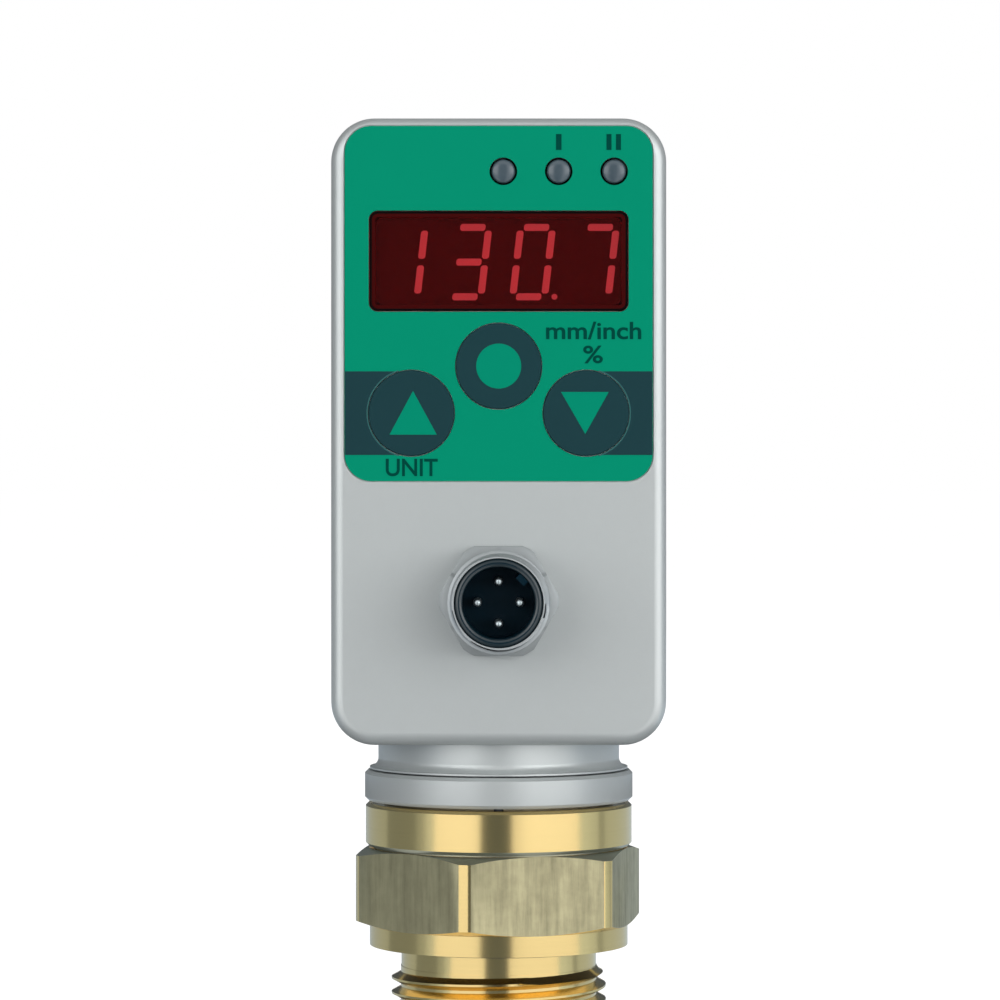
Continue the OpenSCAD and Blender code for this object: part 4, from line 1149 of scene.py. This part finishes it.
@dataclass
class Studio:
    """Camera, floor, lights and world.

    Attributes:
        distance: distance of the camera in front of the axis.
        aside: how far it stands to the right of the axis.
        eye: height of the camera.
        lens: focal length on a 36 mm sensor.
        rise: vertical shift of the picture.
        aim_z: height that the lamps point at.
        fill: strength of the world's light on the object.
        floor_z: height of the fitting's end.
        near: distance of the floor cards' near edge.
        reach: distance of the standing cards.
        screen_top: height of the standing cards.
        under_reach: half the width of the card under the head.
        under_z: height of that card, between the head and the brass.
    """

    # How far the floor lies under the fitting's end, and the cards over it.
    FLOOR_GAP, CARD_LIFT = 0.05 * MM, 0.4 * MM
    # Half the floor's width, its colour and its glow, and the colour of every card.
    FLOOR_REACH, FLOOR_GREY, FLOOR_GLOW = 20.0, (0.32, 0.32, 0.32, 1.0), 0.88
    CARD_BLUE = (0.72, 0.86, 1.0, 1.0)

    distance: float = 0.508
    aside: float = 0.000155
    eye: float = 0.0575
    lens: float = 148.2
    rise: float = -0.023
    aim_z: float = 0.05
    fill: float = 0.38
    floor_z: float = -0.016
    near: float = 0.05
    reach: float = 1.3
    screen_top: float = 0.75
    under_reach: float = 0.032
    under_z: float = 0.0182

    def build(self) -> None:
        """Sets up the whole studio."""
        bpy.context.scene.view_settings.view_transform = "Standard"
        self.camera()
        self.floor()
        self.world()
        for side, place, size, power, shine in (
                ("left", (-0.8, -0.84, 0.2), (1.3, 0.9), 5.75, True),
                ("right", (0.88, -0.76, 0.2), (1.3, 0.9), 6.7, True),
                ("top", (0.0, -1.1, 0.7), (1.2, 0.9), 0.6, False),
                ("front", (0.4, -1.15, 0.09), (1.4, 0.2), 3.7, False),
                ("back", (0.0, 0.9, 0.9), (1.2, 0.9), 5.0, False)):
            self.softbox("softbox_" + side, place, size, power, shine)
        near, far = (self.near, self.floor_z), (self.reach, self.floor_z)
        top = (self.reach, self.screen_top)
        for name, start, end, level in (
                ("flag_front", -15.3, 10.8, 0.2), ("flag_left", -110.0, -74.0, 0.35),
                ("flag_left_fade", -74.0, -64.0, 0.55), ("flag_left_edge", -64.0, -56.0, 0.82),
                ("flag_right_fade", 72.0, 84.0, 1.0), ("flag_right_edge", 84.0, 94.0, 0.9),
                ("flag_right", 94.0, 102.0, 0.5),
                ("flag_back_left", -170.0, -110.0, 0.61), ("flag_back_right", 102.0, 170.0, 0.75)):
            self.strip(name, start, end, near, far, level)
            self.strip(name + "_screen", start, end, far, top, level / 5)
        self.strip("card_behind", 170.0, 190.0, far, top, 0.1)
        wide, high = self.reach, self.screen_top
        self.sheet("card_overhead", wide, -0.2, wide, high, 0.06)
        self.sheet("card_under", self.under_reach, -self.under_reach, self.under_reach,
                   self.under_z, 0.18)

    def camera(self) -> None:
        """The camera at the photograph's place."""
        data = bpy.data.cameras.new("camera")
        data.lens = self.lens
        data.sensor_width = 36.0
        data.shift_y = self.rise
        data.clip_start = 0.01
        data.clip_end = 50.0
        eye = put("camera", data)
        eye.location = (self.aside, -self.distance, self.eye)
        eye.rotation_euler = (math.pi / 2, 0.0, 0.0)
        bpy.context.scene.camera = eye

    def floor(self) -> None:
        """A plain pale floor that keeps the object's shadow."""
        shape = bmesh.new()
        bmesh.ops.create_grid(shape, x_segments=1, y_segments=1, size=self.FLOOR_REACH)
        shift(shape, 0.0, 0.0, self.floor_z - self.FLOOR_GAP)
        made, tree = new_material("pale_floor")
        shader = made.node_tree.nodes["Principled BSDF"]
        tree.tune(shader, Base_Color=self.FLOOR_GREY, Roughness=0.9, Specular_IOR_Level=0.0)
        glow = tree.add("Emission", Strength=self.FLOOR_GLOW)
        both = tree.add("AddShader")
        mix = tree.add("MixShader")
        tree.link(shader.outputs[0], both.inputs[0])
        tree.link(glow.outputs[0], both.inputs[1])
        tree.link(self.seen(tree), mix.inputs[0])
        tree.link(shader.outputs[0], mix.inputs[1])
        tree.link(both.outputs[0], mix.inputs[2])
        self.panel("floor", shape, made, mix)

    def seen(self, tree: Tree) -> NodeSocket:
        """Gives 1 for rays that look at the background, 0 for those that light the object."""
        path = tree.add("LightPath")
        return tree.math("MINIMUM", tree.math("ADD", path.outputs["Is Camera Ray"], tree.math(
            "ADD", path.outputs["Is Glossy Ray"], path.outputs["Is Transmission Ray"])), 1.0)

    def world(self) -> None:
        """White for what sees the background, and softer light on the object."""
        world = bpy.data.worlds.new("studio")
        bpy.context.scene.world = world
        world.use_nodes = True
        tree = Tree(world.node_tree)
        world.node_tree.nodes.clear()
        fill, white = (tree.add("Background", Color=(1.0, 1.0, 1.0, 1.0), Strength=strength)
                       for strength in (self.fill, 1.0))
        mix = tree.add("MixShader")
        tree.link(self.seen(tree), mix.inputs[0])
        tree.link(fill.outputs[0], mix.inputs[1])
        tree.link(white.outputs[0], mix.inputs[2])
        tree.link(mix.outputs[0], tree.add("OutputWorld").inputs["Surface"])

    def softbox(self, name: str, place: tuple[float, float, float],
                size: tuple[float, float], power: float, shine: bool) -> None:
        """A large area light that faces the head.

        Args:
            name: the light's name.
            place: where it stands.
            size: its width and height.
            power: its power in watts.
            shine: whether it shows in reflections.
        """
        data = bpy.data.lights.new(name, "AREA")
        data.shape = "RECTANGLE"
        data.size, data.size_y = size
        data.energy = power
        lamp = put(name, data)
        lamp.location = place
        aim = Vector((0.0, 0.0, self.aim_z)) - Vector(place)
        lamp.rotation_euler = aim.to_track_quat("-Z", "Y").to_euler()
        lamp.visible_camera = False
        lamp.visible_glossy = shine
        lamp.visible_transmission = shine

    def strip(self, name: str, start: float, end: float, low: tuple[float, float],
              high: tuple[float, float], level: float) -> None:
        """A grey card around the object that only shows in reflections.

        Args:
            name: the card's name.
            start: direction of its left edge from the viewer's side, in degrees to the right.
            end: direction of its right edge.
            low: radius and height of its near or lower edge.
            high: radius and height of its far or upper edge.
            level: how bright it looks.
        """
        self.card(name, [self.spot(angle, *edge) for angle, edge in (
            (start, low), (end, low), (end, high), (start, high))], level)

    def sheet(self, name: str, wide: float, front: float, back: float, high: float,
              level: float) -> None:
        """A level card at a height, with its half width and its front and back edge."""
        self.card(name, [Vector((-wide, front, high)), Vector((wide, front, high)),
                         Vector((wide, back, high)), Vector((-wide, back, high))], level)

    def spot(self, angle: float, radius: float, height: float) -> Vector:
        """Gives a point just above a height, its angle in degrees right of the viewer's side."""
        turn = math.radians(angle)
        return Vector((math.sin(turn) * radius, -math.cos(turn) * radius,
                       height + self.CARD_LIFT))

    def card(self, name: str, corners: list[Vector], level: float) -> None:
        """A flat card that only shows in reflections.

        Args:
            name: the card's name.
            corners: its corners, in order.
            level: how bright it looks.
        """
        shape = bmesh.new()
        bmesh.ops.contextual_create(shape, geom=[shape.verts.new(corner) for corner in corners])
        made, tree = new_material(name)
        glow = tree.add("Emission", Color=self.CARD_BLUE, Strength=level)
        card = self.panel(name, shape, made, glow)
        card.visible_camera = False
        card.visible_diffuse = False
        card.visible_transmission = False
        card.visible_shadow = False

    def panel(self, name: str, shape: BMesh, made: Material, surface: Node) -> Object:
        """Puts a flat piece of the studio in the scene.

        Args:
            name: the piece's name.
            shape: its mesh; it is freed here.
            made: its material.
            surface: the node that the material shows.

        Returns:
            The new object.
        """
        output = made.node_tree.nodes["Material Output"]
        made.node_tree.links.new(surface.outputs[0], output.inputs["Surface"])
        mesh = settle(name, shape)
        mesh.materials.append(made)
        piece = put(name, mesh)
        return piece


def main() -> None:
    """Builds the studio and the head in order."""
    logging.basicConfig(level=logging.INFO, format="%(name)s %(message)s")
    Studio().build()
    shop = Workshop(frame["nodes"])
    for part in (Fitting(shop), Plug(shop), KeypadFilm(shop, InkAndPaintedLight(shop)), Head(shop)):
        part.build()
    if shop.undressed:
        log.warning("undressed nodes: %s", sorted(shop.undressed))


if __name__ == "__main__":
    main()
